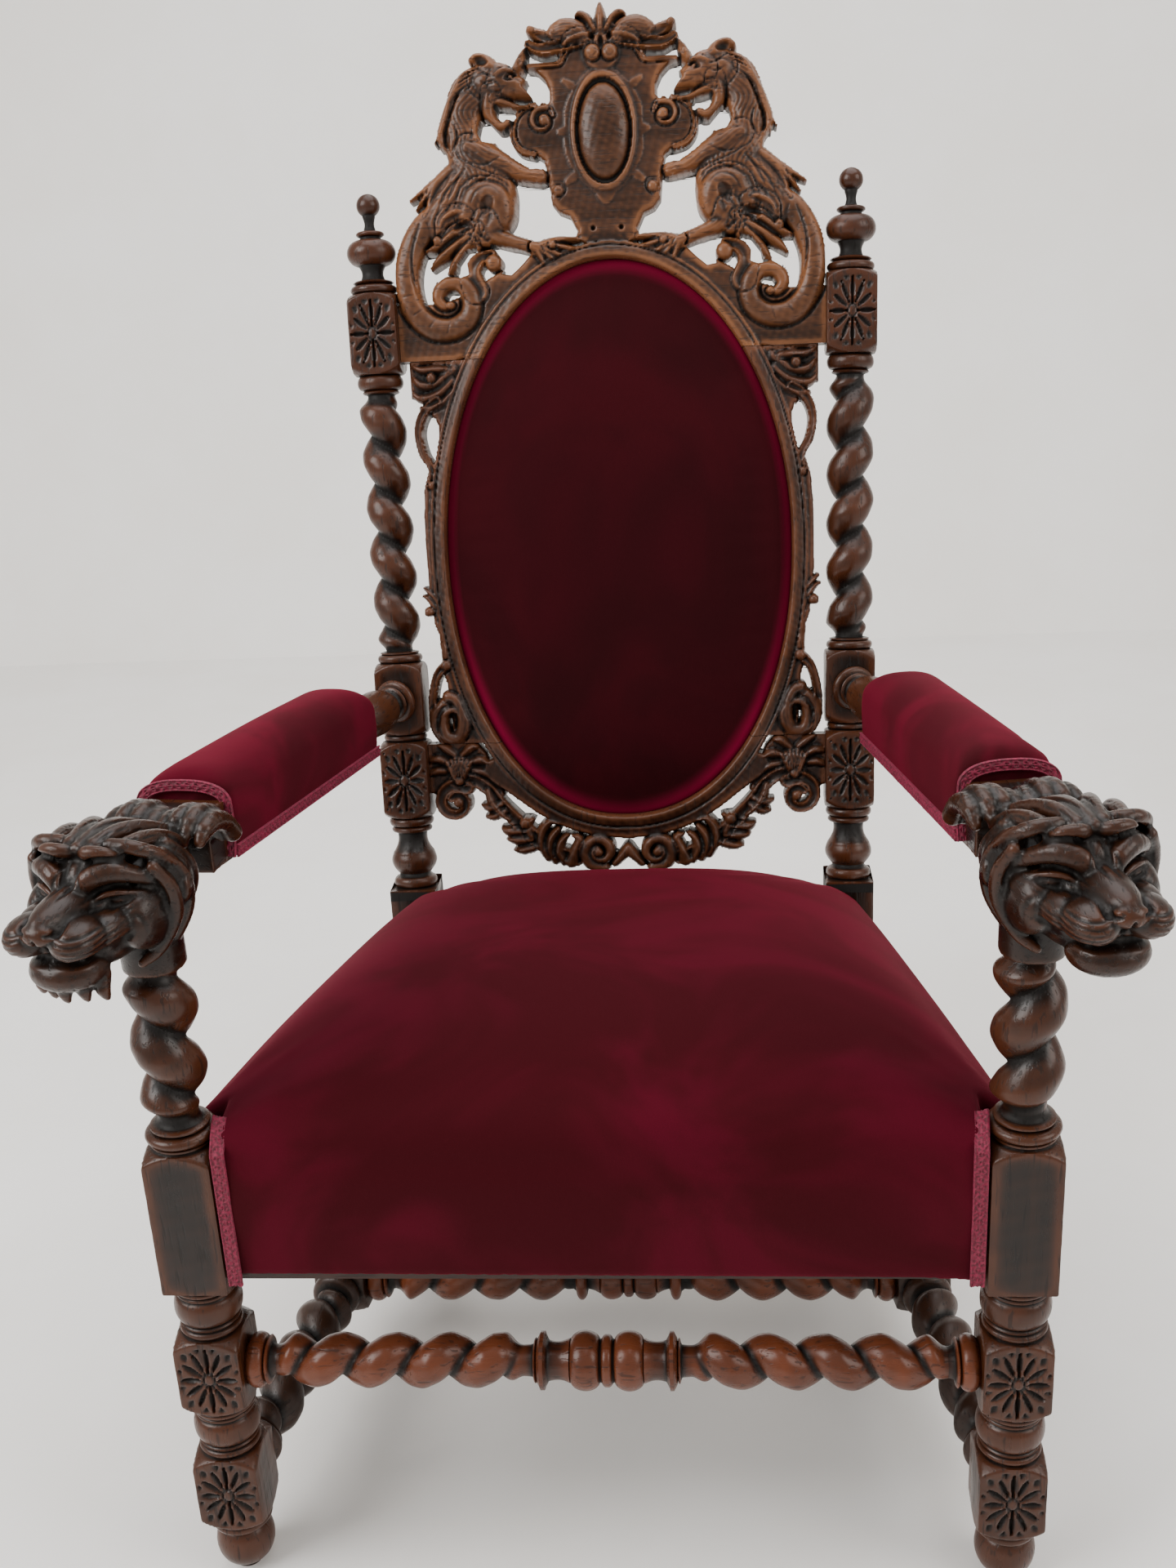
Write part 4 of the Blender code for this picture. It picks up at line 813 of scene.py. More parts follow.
def plump(piece, travel, pressure=4.0):
    """Simulate pressure in a pad; travel is how far each point may move."""
    start = points_of(piece)
    held = piece.vertex_groups.new(name="held")
    held.add([int(index) for index in np.nonzero(travel < 0.0006)[0]], 1.0, "REPLACE")
    cloth = piece.modifiers.new("stuffing", "CLOTH")
    cloth.settings.vertex_group_mass = "held"
    cloth.settings.use_pressure = True
    cloth.settings.uniform_pressure_force = pressure
    cloth.settings.effector_weights.gravity = 0
    cloth.point_cache.frame_end = 20
    for step in range(1, 21):
        bpy.context.scene.frame_set(step)
    shape = piece.evaluated_get(bpy.context.evaluated_depsgraph_get())
    moved = np.empty(len(start) * 3)
    shape.data.vertices.foreach_get("co", moved)
    shift = moved.reshape(-1, 3) - start
    piece.modifiers.remove(cloth)
    bpy.context.scene.frame_set(1)
    size = np.maximum(np.linalg.norm(shift, axis=1), 1e-9)
    shift *= (np.minimum(size, travel) / size)[:, None]
    set_points(piece, start + shift)
    print(piece.name, "plumped by up to", round(float(np.minimum(size, travel).max()) * 1000, 1), "mm")
    pick(piece)
    finer = piece.modifiers.new("finer", "SUBSURF")
    finer.levels = 1
    finer.render_levels = 1
    bpy.ops.object.modifier_apply(modifier="finer")
    bpy.ops.object.shade_smooth()


print("plump ready")

# %% [markdown]
# The seat is one big pillow. Its velvet runs from the crown over the front and down the rails,
# so the plan is a tapering grid with a corner cut out for each post; its rim is extruded
# down in steps and closed underneath with a dust cloth.

# %% Seat: plan and crown
seat_front = -0.0242
seat_rear = 0.6055
notch_front = 0.0312
notch_rear = 0.572
lines_y = np.concatenate([np.linspace(seat_front, notch_front, 8),
                          np.linspace(notch_front, notch_rear, 64)[1:],
                          np.linspace(notch_rear, seat_rear, 5)[1:]])
front_half = 0.3098
rear_inner_half = 0.2215
inner_cells = 72
outer_cells = 4
cells_across = inner_cells + 2 * outer_cells


def rail_level(depth):
    return 0.426 - 0.065 * depth / post_depth


def plan_line(depth):
    """Across positions of the seat's columns at a depth."""
    share = np.clip((depth - notch_front) / (notch_rear - notch_front), 0, 1)
    inner = front_half + (rear_inner_half - front_half) * share
    outer = front_x + (rear_x - front_x) * depth / post_depth + 0.007
    middle = np.linspace(-inner, inner, inner_cells + 1)
    edge = np.linspace(inner, outer, outer_cells + 1)[1:]
    return np.concatenate([-edge[::-1], middle, edge])


seat = new_grid("seat_velvet_pad", cells_across, len(lines_y) - 1)
points = []
for depth in lines_y:
    xs = plan_line(depth)
    share = (depth - seat_front) / (seat_rear - seat_front)
    side = np.abs(xs) / xs[-1]
    rise = (1 - side ** 3.2) ** 0.62 * max(0, 1 - abs(2 * share - 1) ** 2.8) ** 0.6
    swell = 0.012 * math.exp(-((share - 0.34) / 0.24) ** 2) * (1 - side ** 2)
    for x, z in zip(xs, rail_level(depth) + 0.02 + 0.082 * rise + swell):
        points.append((x, front_y + depth, z))
set_points(seat, points)
row, column = np.divmod(np.arange(len(seat.data.polygons)), cells_across)
outside = (column < outer_cells) | (column >= cells_across - outer_cells)
delete_faces(seat, outside & ((row < 7) | (row >= len(lines_y) - 5)))
print("seat plan", len(seat.data.polygons), "faces")

# %% Seat: skirt down the rails and dust cloth underneath
seat_points = points_of(seat)
skirt_top = {(round(x, 4), round(y, 4)): z for x, y, z in seat_points}
skirt_steps = 13
mode("EDIT")
bpy.ops.mesh.select_all(action="SELECT")
bpy.ops.mesh.region_to_loop()
for step in range(skirt_steps):
    bpy.ops.mesh.extrude_edges_move(TRANSFORM_OT_translate={"value": (0, 0, -0.001)})
bpy.ops.mesh.fill(use_beauty=False)
mode("OBJECT")
points = points_of(seat)
travel = np.full(len(points), 0.0)
for index, (x, y, z) in enumerate(points):
    depth = y - front_y
    if index < len(seat_points):
        edge = min(abs(depth - seat_front), abs(depth - seat_rear), abs(plan_line(depth)[-1] - abs(x)))
        if depth < notch_front + 0.03 or depth > notch_rear - 0.03:
            edge = min(edge, max(0.0, abs(abs(x) - front_half) if depth < 0.1 else abs(abs(x)
                                                                                       - rear_inner_half)))
        travel[index] = min(0.009, 0.0008 + edge * 0.09)
        continue
    top = skirt_top[(round(x, 4), round(y, 4))]
    down = (top - z) / 0.001 / skirt_steps
    low = rail_level(depth) - 0.1075
    points[index, 2] = top + (low - top) * down
    bulge = math.sin(math.pi * min(1, down * 1.15)) * 0.003
    if depth < seat_front + 0.001:
        points[index, 1] -= bulge
        travel[index] = 0.0022 * max(0, 1 - down * 1.3)
    if abs(x) > 0.3105 * (1 - 0.4 * depth / post_depth) and notch_front < depth < notch_rear:
        points[index, 0] += math.copysign(bulge * 0.6, x)
set_points(seat, points)
face_outwards()
start = time.time()
plump(seat, travel)
seat.data.materials.append(seat_velvet)
seat.data.materials.append(dust_cloth)
for face in seat.data.polygons:
    if face.normal.z < -0.96:
        face.material_index = 1
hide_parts("seat_pad")
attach(seat, "root")
print("seat", len(seat.data.polygons), "faces in", round(time.time() - start), "s")

# %% [markdown]
# The oval back is stuffed hardest in the middle. A square grid is mapped onto the oval, domed,
# and its rim is extruded back into the frame's opening and closed behind.

# %% Oval back
oval_half = (0.1935, 0.3085)
oval_middle = 0.3925


def oval_point(angle, offset=0.0):
    """A point of the oval, its lower half a little squarer, moved outwards."""
    power = np.where(np.sin(angle) < 0, 2 / 2.15, 1.0)
    wide = np.abs(np.cos(angle)) ** power * np.sign(np.cos(angle))
    tall = np.abs(np.sin(angle)) ** power * np.sign(np.sin(angle))
    return (oval_half[0] + offset) * wide, oval_middle + (oval_half[1] + offset) * tall


def to_back(x, n, t):
    """Points of the raked back plane in the throne's frame."""
    x, n, t = np.broadcast_arrays(x, n, t)
    y = rear_y + t * math.sin(rake) + n * math.cos(rake)
    z = joint_height + t * math.cos(rake) - n * math.sin(rake)
    return np.stack([x, y, z], axis=-1)


oval = new_grid("oval_velvet_pad", 44, 68, 2)
grid = points_of(oval)
u = grid[:, 0] * np.sqrt(1 - grid[:, 1] ** 2 / 2)
v = grid[:, 1] * np.sqrt(1 - grid[:, 0] ** 2 / 2)
radius = np.minimum(np.hypot(u, v), 1)
edge_x, edge_t = oval_point(np.arctan2(v, u), 0.0006)
x = edge_x * radius
t = oval_middle + (edge_t - oval_middle) * radius
dome = 0.002 + 0.026 * np.maximum(0, 1 - radius ** 2.6) ** 0.62
set_points(oval, to_back(x, -dome, t))
mode("EDIT")
bpy.ops.mesh.select_mode(type="VERT")
bpy.ops.mesh.select_all(action="SELECT")
bpy.ops.mesh.region_to_loop()
into = Vector((0, math.cos(rake), -math.sin(rake)))
for step in (0.004, 0.008, 0.008):
    bpy.ops.mesh.extrude_edges_move(TRANSFORM_OT_translate={"value": into * step})
bpy.ops.mesh.fill(use_beauty=False)
mode("OBJECT")
face_outwards()
travel = np.zeros(len(oval.data.vertices))
travel[:len(radius)] = np.clip((1 - radius) * 0.03, 0, 0.005)
plump(oval, travel)
back_frame = np.array(back_plane)
points = (points_of(oval) - back_frame[:3, 3]) @ back_frame[:3, :3]
reach = np.hypot(points[:, 0] / oval_half[0], (points[:, 2] - oval_middle) / oval_half[1])
# Painted sheen: the outer edge of the oval is marked for the bright raspberry of pile seen at a grazing
# angle
tips = oval.data.attributes.new("rubbed", "FLOAT", "POINT")
tips.data.foreach_set("value", (np.clip((reach - 0.935) / 0.06, 0, 1) ** 1.6 * 0.85).astype(np.float32))
oval.data.materials.append(oval_velvet)
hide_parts("back_pad")
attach(oval, "root")
print("oval", len(oval.data.polygons), "faces")

# %% [markdown]
# Each arm pad is a loaf of velvet that wraps down over both sides of the arm's board. Its
# cross sections are the rows of a rolled grid: a domed outside and a flat inside that
# clears the wood.

# %% Arm pads
pad_front = 0.116
pad_rear = 0.51
arm_fall = 0.121
arm_lean = 0.112


def on_arm(side, depth, across=0.0, high=0.0):
    """A point of the arm: depth from the front posts' axis, across and above its middle."""
    axis = Vector((side * arm_lean, -1, arm_fall)).normalized()
    sideways = axis.cross(Vector((0, 0, 1))).normalized()
    upright = sideways.cross(axis).normalized()
    middle = Vector((side * (front_x - arm_lean * (depth - pad_front)), front_y + depth,
                     arm_height - arm_fall * (depth - pad_front)))
    return middle + sideways * across + upright * high


def pad_section(crown):
    """Half-domed outline of the pad, then back round the inside of the wrap."""
    outer = 0.0405
    inner = 0.0372
    low = -0.0245
    outside = [(-outer - 0.0012 * math.sin(math.pi * s), low + 0.05 * s) for s in np.linspace(0, 1, 8)]
    for angle in np.linspace(math.pi, 0, 19)[1:-1]:
        c, s = math.cos(angle), math.sin(angle)
        outside.append((outer * math.copysign(abs(c) ** 0.8, c), 0.026 + (0.004 + crown) * abs(s) ** 0.9))
    outside += [(-x, z) for x, z in reversed(outside[:8])]
    inside = [(inner, low), (inner, 0.0), (inner, 0.0275), (0.012, 0.0275), (-0.012, 0.0275),
              (-inner, 0.0275), (-inner, 0.0), (-inner, low)]
    return outside + inside


for side, label in ((-1, "left"), (1, "right")):
    depths = np.linspace(pad_front, pad_rear, 46)
    sections = []
    for depth in depths:
        front_roll = min(1.0, (depth - pad_front) / 0.03)
        rear_roll = min(1.0, (pad_rear - depth) / 0.045)
        full = math.sqrt(1 - (1 - front_roll) ** 2) * 0.42 + 0.58
        full = min(full, math.sqrt(1 - (1 - rear_roll) ** 2) * 0.55 + 0.45)
        sway = 1 + 0.1 * math.sin(math.pi * (depth - pad_front) / (pad_rear - pad_front))
        section = pad_section(0.0235 * full * sway)
        sections.append([on_arm(side, depth, x, z) for x, z in section + section[:1]])
    points = np.array(sections).reshape(-1, 3)
    pad = close_roll("arm_pad_" + label + "_velvet", points, len(depths), len(sections[0]), wear=False)
    points = points_of(pad)
    travel = np.zeros(len(points))
    for index, point in enumerate(points):
        depth = point[1] - front_y
        above = point[2] - on_arm(side, depth)[2]
        if above > 0.03 and pad_front + 0.004 < depth < pad_rear - 0.004:
            travel[index] = 0.0035
        elif above > 0.0 and pad_front + 0.004 < depth < pad_rear - 0.004:
            travel[index] = 0.001
    plump(pad, travel)
    pad.data.materials.append(arm_velvet)
    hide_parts("arm_pad_" + label)
    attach(pad, "root")
    print(pad.name, len(pad.data.polygons), "faces")


# %% [markdown]
# The back is four pierced boards carved in relief. A carver saws the outline, then lowers the
# ground round each form. The boards follow the same order on a fine grid: every stroke of
# the carver's drawing is a smooth path with a width and a height, the highest stroke wins at
# each place, and grooves, pits and openings are cut afterwards. Sculpting by hand could not
# be repeated exactly, so the relief is worked out and given to a flat grid.

# %% The carver's canvas
cell = 1.3
board_back = 0.014
rim = 8.0
oval_half_width = 193.5
oval_half_height = 308.5
oval_centre = 392.5


def new_board(low_x, high_x, low_t, high_t, side=0):
    """A canvas in drawing millimetres; side 0 folds it about the middle."""
    across = np.linspace(low_x, high_x, int((high_x - low_x) / cell) + 1)
    up = np.linspace(low_t, high_t, int((high_t - low_t) / cell) + 1)
    x, t = np.meshgrid(across, up)
    u = (np.abs(x) if side == 0 else x * side) + 0.5 * np.sin(t * 0.031 + x * 0.017 + 0.6)
    v = t + 0.5 * np.sin(x * 0.043 + 0.9)
    return {"x": x, "t": t, "u": u, "v": v, "height": np.full(x.shape, -20.0),
            "inside": np.full(x.shape, -50.0)}


def curve(points, steps=6):
    """A smooth path through a few points, each with its half width and height."""
    points = np.array(points, dtype=float)
    path = []
    for index in range(len(points) - 1):
        path += [between(points, index, share) for share in np.arange(steps) / steps]
    return np.array(path + [points[-1]])


def near(board, path, margin=2.0):
    """Around a path: the area, the share of the width, the side, and the run along it."""
    spread = path[:, 2].max() + margin
    low = path[:, :2].min(0) - spread
    high = path[:, :2].max(0) + spread
    area = (board["u"] > low[0]) & (board["u"] < high[0]) & (board["v"] > low[1]) & (board["v"] < high[1])
    u = board["u"][area]
    v = board["v"][area]
    share = np.full(u.shape, 1e6)
    found = np.zeros((4,) + u.shape)
    length = 0.0
    for start, end in zip(path, path[1:]):
        step = end - start
        size = max(math.hypot(step[0], step[1]), 1e-6)
        place = np.clip(((u - start[0]) * step[0] + (v - start[1]) * step[1]) / size ** 2, 0, 1)
        du = u - start[0] - step[0] * place
        dv = v - start[1] - step[1] * place
        width = np.maximum(start[2] + step[2] * place, 0.5)
        ratio = np.hypot(du, dv) / width
        closer = ratio < share
        share = np.where(closer, ratio, share)
        side = np.sign(step[0] * dv - step[1] * du)
        values = (side * ratio * width, width, start[3] + step[3] * place, length + size * place)
        found = np.where(closer, values, found)
        length += size
    return area, share, found


def furrow(value, sharp=0.45):
    """Parallel V-shaped furrows, one for each whole number."""
    return np.clip(1 - np.abs(value - np.round(value)) / sharp, 0, 1)


sections = {
    "round": lambda q: np.sqrt(1 - q * q) ** 0.8,
    "leaf": lambda q: (1 - q) * 0.35 + np.sqrt(1 - q * q) * 0.65,
    "band": lambda q: np.clip((1 - q) * 5, 0, 1) ** 0.5 * (1 - 0.5 * np.clip(1 - (q / 0.72) ** 2, 0, 1)),
    "flat": lambda q: np.clip((1 - q) * 6, 0, 1) ** 0.5,
}


def stroke(board, points, section="round", lines=0.0, cut=0.8, moat=0.0, low=rim, wave=0.9, slant=0.0):
    """Lay a stroke on the canvas; furrows run along it, or slant outwards from its middle."""
    area, share, (across, width, height, run) = near(board, curve(points), 2.0 + moat)
    q = np.minimum(share, 1.0)
    level = low + (height - low) * sections[section](q)
    if lines:
        drift = across + wave * np.sin(run / 7.0 + points[0][0])
        if slant:
            drift = run * slant + np.abs(across) * (1 if slant < 0 else -1) * 1.0
        level = level - cut * furrow(drift / lines) * np.clip((1 - q) * 5, 0, 1)
    present = board["height"][area]
    if moat:
        ring = np.clip(1 - (share - 1) * width / moat, 0, 1) * (share >= 1)
        present = present - ring * np.clip(present - rim, 0, 2.6)
    board["height"][area] = np.where(share < 1, np.maximum(present, level), present)
    board["inside"][area] = np.maximum(board["inside"][area], (1 - share) * width)


def incise(board, points, power=1.0):
    """Cut a groove along a path; the last number of each point is its depth."""
    area, share, found = near(board, curve(points), 1.0)
    board["height"][area] -= found[2] * np.clip(1 - share, 0, 1) ** power


def swell(board, points):
    """Raise a soft ridge on what is already there."""
    area, share, found = near(board, curve(points), 1.0)
    board["height"][area] += found[2] * (1 - np.minimum(share, 1) ** 2) ** 1.5


def ball(board, x, t, radius, top, moat=1.6, turns=0.0):
    """A half-round boss, with a spiral groove when turns isn't zero."""
    distance = np.hypot(board["u"] - x, board["v"] - t)
    q = np.minimum(distance / radius, 1)
    level = top - radius * 0.75 * (1 - np.sqrt(1 - q * q))
    if turns:
        angle = np.arctan2(board["v"] - t, board["u"] - x) / (2 * np.pi)
        level = level - 1.3 * furrow(q * abs(turns) + angle * math.copysign(1, turns), 0.3) * (q > 0.12)
    ring = np.clip(1 - (distance - radius) / moat, 0, 1) * (distance >= radius)
    lowered = board["height"] - ring * np.clip(board["height"] - rim, 0, 2.2)
    board["height"] = np.where(distance < radius, np.maximum(board["height"], level), lowered)
    board["inside"] = np.maximum(board["inside"], radius - distance)


def pit(board, x, t, half_x, half_t, depth, lean=0.0):
    """Sink a soft oval hollow."""
    c, s = math.cos(lean), math.sin(lean)
    u = ((board["u"] - x) * c + (board["v"] - t) * s) / half_x
    v = ((board["v"] - t) * c - (board["u"] - x) * s) / half_t
    board["height"] -= depth * np.clip(1 - u * u - v * v, 0, 1) ** 0.7


def outline_distance(board, corners):
    """How far each place lies inside a closed outline, negative outside."""
    u = board["u"]
    v = board["v"]
    distance = np.full(u.shape, 1e6)
    inside = np.zeros(u.shape, dtype=bool)
    for start, end in zip(corners, corners[1:] + corners[:1]):
        du, dv = end[0] - start[0], end[1] - start[1]
        place = np.clip(((u - start[0]) * du + (v - start[1]) * dv) / (du * du + dv * dv), 0, 1)
        distance = np.minimum(distance, np.hypot(u - start[0] - du * place, v - start[1] - dv * place))
        if dv:
            inside ^= ((start[1] > v) != (end[1] > v)) & (u < du * (v - start[1]) / dv + start[0])
    return np.where(inside, distance, -distance)


def plate(board, corners, height, edge=2.0):
    """A flat part of the board inside an outline."""
    distance = outline_distance(board, corners)
    level = rim + (height - rim) * np.clip(distance / edge, 0, 1) ** 0.5
    board["height"] = np.where(distance > 0, np.maximum(board["height"], level), board["height"])
    board["inside"] = np.maximum(board["inside"], distance)
    return distance


def opening(board, corners):
    """Saw an opening through the board."""
    board["inside"] = np.minimum(board["inside"], -outline_distance(board, corners))


def spiral(x, t, start, turns, outer, inner, width, height, count=9):
    """Points of a scroll that winds inwards from the start angle (in turns)."""
    shares = np.linspace(0, 1, count)
    return [(x + (outer + (inner - outer) * s) * math.cos(2 * math.pi * (start + turns * s)),
             t + (outer + (inner - outer) * s) * math.sin(2 * math.pi * (start + turns * s)),
             width * (1 - 0.45 * s), height + 2 * s) for s in shares]


print("canvas tools ready")

# %% [markdown]
# The canvas becomes a mesh in five steps: a grid takes the heights, the waste outside the
# outline is deleted, the cut edge is drawn onto the true outline, the edge is extruded back
# to the rear face, and that face is filled. A low moulding runs round the oval on each board.

# %% From canvas to board


def oval_offset(x, t):
    """The distance outside the oval, in millimetres."""
    rise = (t - oval_centre) / oval_half_height
    power = np.where(rise < 0, 2.15, 2.0)
    reach = (np.abs(x / oval_half_width) ** power + np.abs(rise) ** power) ** (1 / power)
    slope_t, slope_x = np.gradient(reach)
    spacing_t = t[1, 0] - t[0, 0]
    spacing_x = x[0, 1] - x[0, 0]
    return (reach - 1) / np.maximum(np.hypot(slope_t / spacing_t, slope_x / spacing_x), 1e-5)


def moulding(board):
    """The oval's moulding: a rounded lip, a flat, a fine groove and a small bead."""
    offset = oval_offset(board["x"], board["t"])
    lip = 13.0 + 4.6 * np.sqrt(np.clip(1 - (1 - np.clip(offset, 0, 3.5) / 3.5) ** 2, 0, 1))
    flat = lip - np.clip(offset - 3.5, 0, 10) * 0.22
    fillet = 14.0 + 1.6 * np.sqrt(np.clip(1 - ((offset - 16.0) / 2.2) ** 2, 0, 1))
    level = np.where(offset < 13.2, flat, fillet) - 2.0 * np.clip(1 - np.abs(offset - 13.2) / 0.9, 0, 1)
    board["height"] = np.where(offset < 18, np.maximum(board["height"] * (offset > 15), level),
                               board["height"])
    board["inside"] = np.maximum(board["inside"], 18 - offset)
    board["inside"] = np.minimum(board["inside"], offset)


def whole_cells(keep):
    """Cells with four kept corners, without cells that touch only at a corner."""
    cells = keep[:-1, :-1] & keep[1:, :-1] & keep[:-1, 1:] & keep[1:, 1:]
    for _ in range(4):
        a, b, c, d = cells[:-1, :-1], cells[1:, 1:], cells[1:, :-1], cells[:-1, 1:]
        first = a & b & ~c & ~d
        second = c & d & ~a & ~b
        cells[1:, 1:] &= ~first
        cells[1:, :-1] &= ~second
    return cells


def on_board(points):
    """From the throne's frame to the raked boards' own: across, back and up."""
    return (points - np.array(back_plane)[:3, 3]) @ np.array(back_plane)[:3, :3]


def off_board(points):
    return points @ np.array(back_plane)[:3, :3].T + np.array(back_plane)[:3, 3]


def select_rim():
    """Select the open edges of the mesh."""
    bpy.ops.mesh.select_all(action="DESELECT")
    bpy.ops.mesh.select_non_manifold(extend=False, use_wire=False, use_boundary=True, use_multi_face=False,
                                     use_non_contiguous=False, use_verts=False)


def board_from(name, board, low_t, high_t):
    """Build the carved board that the canvas describes."""
    x, t, height = board["x"], board["t"], board["height"]
    post_face = 1000 * rear_x + spread * t - 1000 * rear_half - 0.3
    inside = np.minimum(board["inside"], post_face - np.abs(x))
    inside = np.minimum(inside, np.minimum(t - low_t, high_t - t))
    free = np.minimum(board["inside"], 30)
    height = np.maximum(height, 2.0) - 2.6 * np.clip(1 - free / 2.6, 0, 1) ** 2
    height = height + 0.18 * np.sin(x * 0.61 + t * 0.23) * np.sin(t * 0.47 - x * 0.13)
    blurred = height.copy()
    blurred[1:-1, 1:-1] = 0.6 * height[1:-1, 1:-1] + 0.1 * (height[:-2, 1:-1] + height[2:, 1:-1]
                                                           + height[1:-1, :-2] + height[1:-1, 2:])
    cells = whole_cells(inside > -0.7 * cell)
    used = np.zeros(x.shape, dtype=bool)
    whole = np.zeros(x.shape, dtype=int)
    for rows, cols in ((slice(0, -1), slice(0, -1)), (slice(1, None), slice(0, -1)),
                       (slice(0, -1), slice(1, None)), (slice(1, None), slice(1, None))):
        used[rows, cols] |= cells
        whole[rows, cols] += cells
    edge = used & (whole < 4)
    slope_t, slope_x = np.gradient(inside, t[1, 0] - t[0, 0], x[0, 1] - x[0, 0])
    steep = np.maximum(np.hypot(slope_t, slope_x), 0.3)
    move = np.clip(inside / steep, -1.2 * cell, 1.2 * cell) * edge
    points = np.stack([x - move * slope_x / steep, -blurred, t - move * slope_t / steep], axis=2) / 1000
    piece = new_grid(name, x.shape[1] - 1, x.shape[0] - 1)
    set_points(piece, off_board(points.reshape(-1, 3)))
    delete_faces(piece, ~cells.ravel())
    edit(lambda: bpy.ops.mesh.delete_loose(use_verts=True, use_edges=True, use_faces=False))
    edit(select_rim, bpy.ops.mesh.extrude_edges_move)
    chosen = np.empty(len(piece.data.vertices), dtype=bool)
    piece.data.vertices.foreach_get("select", chosen)
    local = on_board(points_of(piece))
    local[chosen, 1] = board_back
    set_points(piece, off_board(local))
    edit(select_rim, lambda: bpy.ops.mesh.fill(use_beauty=False))
    clear_openings(piece, board, inside)
    face_outwards()
    bpy.ops.object.shade_smooth_by_angle(angle=math.radians(60))
    read_wear(piece, 6, 0.0009)
    # Painted shade: the sawn back and the rear of each sawn edge get a fixed hollow value, so the finish
    # darkens them, and nothing there is lightened
    sawn = on_board(points_of(piece))[:, 1] > board_back - 0.0005
    for name, value in (("hollow", 0.35), ("worn", 0.0)):
        values = np.empty(len(sawn), dtype=np.float32)
        piece.data.attributes[name].data.foreach_get("value", values)
        piece.data.attributes[name].data.foreach_set("value",
                                                     np.where(sawn, value, values).astype(np.float32))
    return piece


def clear_openings(piece, board, inside):
    """The fill also covers the openings from behind: delete those faces again."""
    local = 1000 * on_board(np.array([face.center for face in piece.data.polygons]))
    across, up = board["x"][0], board["t"][:, 0]
    column = np.round((local[:, 0] - across[0]) / (across[1] - across[0]))
    row = np.round((local[:, 2] - up[0]) / (up[1] - up[0]))
    spot = (np.clip(row, 0, len(up) - 1).astype(int), np.clip(column, 0, len(across) - 1).astype(int))
    waste = (local[:, 1] > 1000 * board_back - 0.1) & (inside[spot] < -0.6 * cell)
    delete_faces(piece, waste, "ONLY_FACE")
    edit(lambda: bpy.ops.mesh.delete_loose(use_verts=False, use_edges=True, use_faces=False))
    print(piece.name, int(waste.sum()), "faces cleared from the openings")


print("board maker ready")

# %% [markdown]
# The crest is drawn once for both sides. First the plain ground and the shield, then the two
# beasts with their coiled tails, then the palmette. The ground lies lowest, the beasts'
# heads and haunches highest.

# %% Crest: ground, shield and cabochon
crest = new_board(-237, 237, 599, 966)
stroke(crest, [
    (40, 706, 9, 13), (70, 702, 12, 13), (100, 686, 16, 13), (128, 664, 22, 13), (156, 640, 30, 13),
    (190, 628, 34, 13), (240, 628, 34, 13)], "flat")
stroke(crest, [(0, 706, 8, 13), (40, 706, 9, 13)], "flat")
shield = [
    (-6, 707), (0, 707), (7, 712), (12, 718), (20, 715), (28, 719), (35, 718), (33, 732), (40, 746),
    (52, 751), (59, 760), (62, 786), (66, 806), (73, 811), (84, 811), (94, 819), (101, 838), (98, 850),
    (89, 860), (76, 863), (64, 860), (58, 867), (58, 878), (63, 889), (71, 897), (79, 900), (79, 906),
    (44, 906), (39, 916), (30, 927), (19, 931), (-6, 931)]
depth = plate(crest, shield, 14)
crest["height"] -= 1.3 * np.clip(1 - np.abs(depth - 3.4) / 0.9, 0, 1)
stroke(crest, [
    (79, 902.5, 3, 18), (60, 902.5, 3, 18.5), (46, 903.5, 3.2, 19), (41, 911, 3.4, 19.5),
    (35, 920, 3.6, 20), (25, 927, 4, 21), (15, 924, 4, 21), (12, 917, 3.5, 20)], "band", moat=1.8)
q = np.hypot(crest["u"] / 44, (crest["v"] - 833) / 65) + 0.018 * np.cos(6
                                                                        * np.arctan2(crest["v"] - 833,
                                                                                     crest["u"]))
crest["height"] = np.where(q < 1, np.maximum(crest["height"], 15.6), crest["height"])
for points in (
        [(40, 833, 7, 15.6), (47, 833, 4, 15.6)], [(34, 786, 5, 15.6), (41, 781, 3, 15.6)],
        [(34, 880, 5, 15.6), (41, 885, 3, 15.6)],
        [(0, 772, 12, 15.6), (0, 764, 7, 15.8), (0, 759, 2, 15.6)],
        [(0, 892, 10, 15.6), (0, 900, 5, 15.8), (0, 904, 2, 15.6)]):
    stroke(crest, points, "flat", low=14)
q = np.hypot(crest["u"], (crest["v"] - 833) * 0.58) - 33.5
crest["height"] = np.where(np.abs(q) < 3.2, 15.5 + 3.4 * np.sqrt(np.clip(1 - (q / 3.2) ** 2, 0, 1)),
                           crest["height"])
q = np.hypot(crest["u"] / 30, (crest["v"] - 833) / 53)
crest["height"] = np.where(q < 1.03, 11, crest["height"])
crest["height"] = np.where(q < 0.94, 13 + 11.5 * np.clip(1 - (q / 0.94) ** 2.6, 0, 1) ** 0.6,
                           crest["height"])
stroke(crest, [
    (55, 851, 2.6, 17), (60, 860, 2.8, 17.5), (73, 863, 3, 18), (88, 858, 3.2, 18), (97, 846, 3.4, 18),
    (98, 830, 3.4, 17.5), (90, 817, 3.2, 17), (76, 812, 3, 16)], "band", moat=2)
stroke(crest, spiral(66, 846, 0.3, -1.15, 14, 4, 3.6, 17), "round", moat=2.2)
ball(crest, 64, 846, 6, 20)
ball(crest, 51, 773, 6.4, 17.5, 1.4)
incise(crest, [
    (62, 790, 1.1, 1.6), (58, 783, 1.1, 1.6), (46, 782, 1.2, 1.8), (43, 773, 1.2, 1.8),
    (50, 764, 1.1, 1.6)])
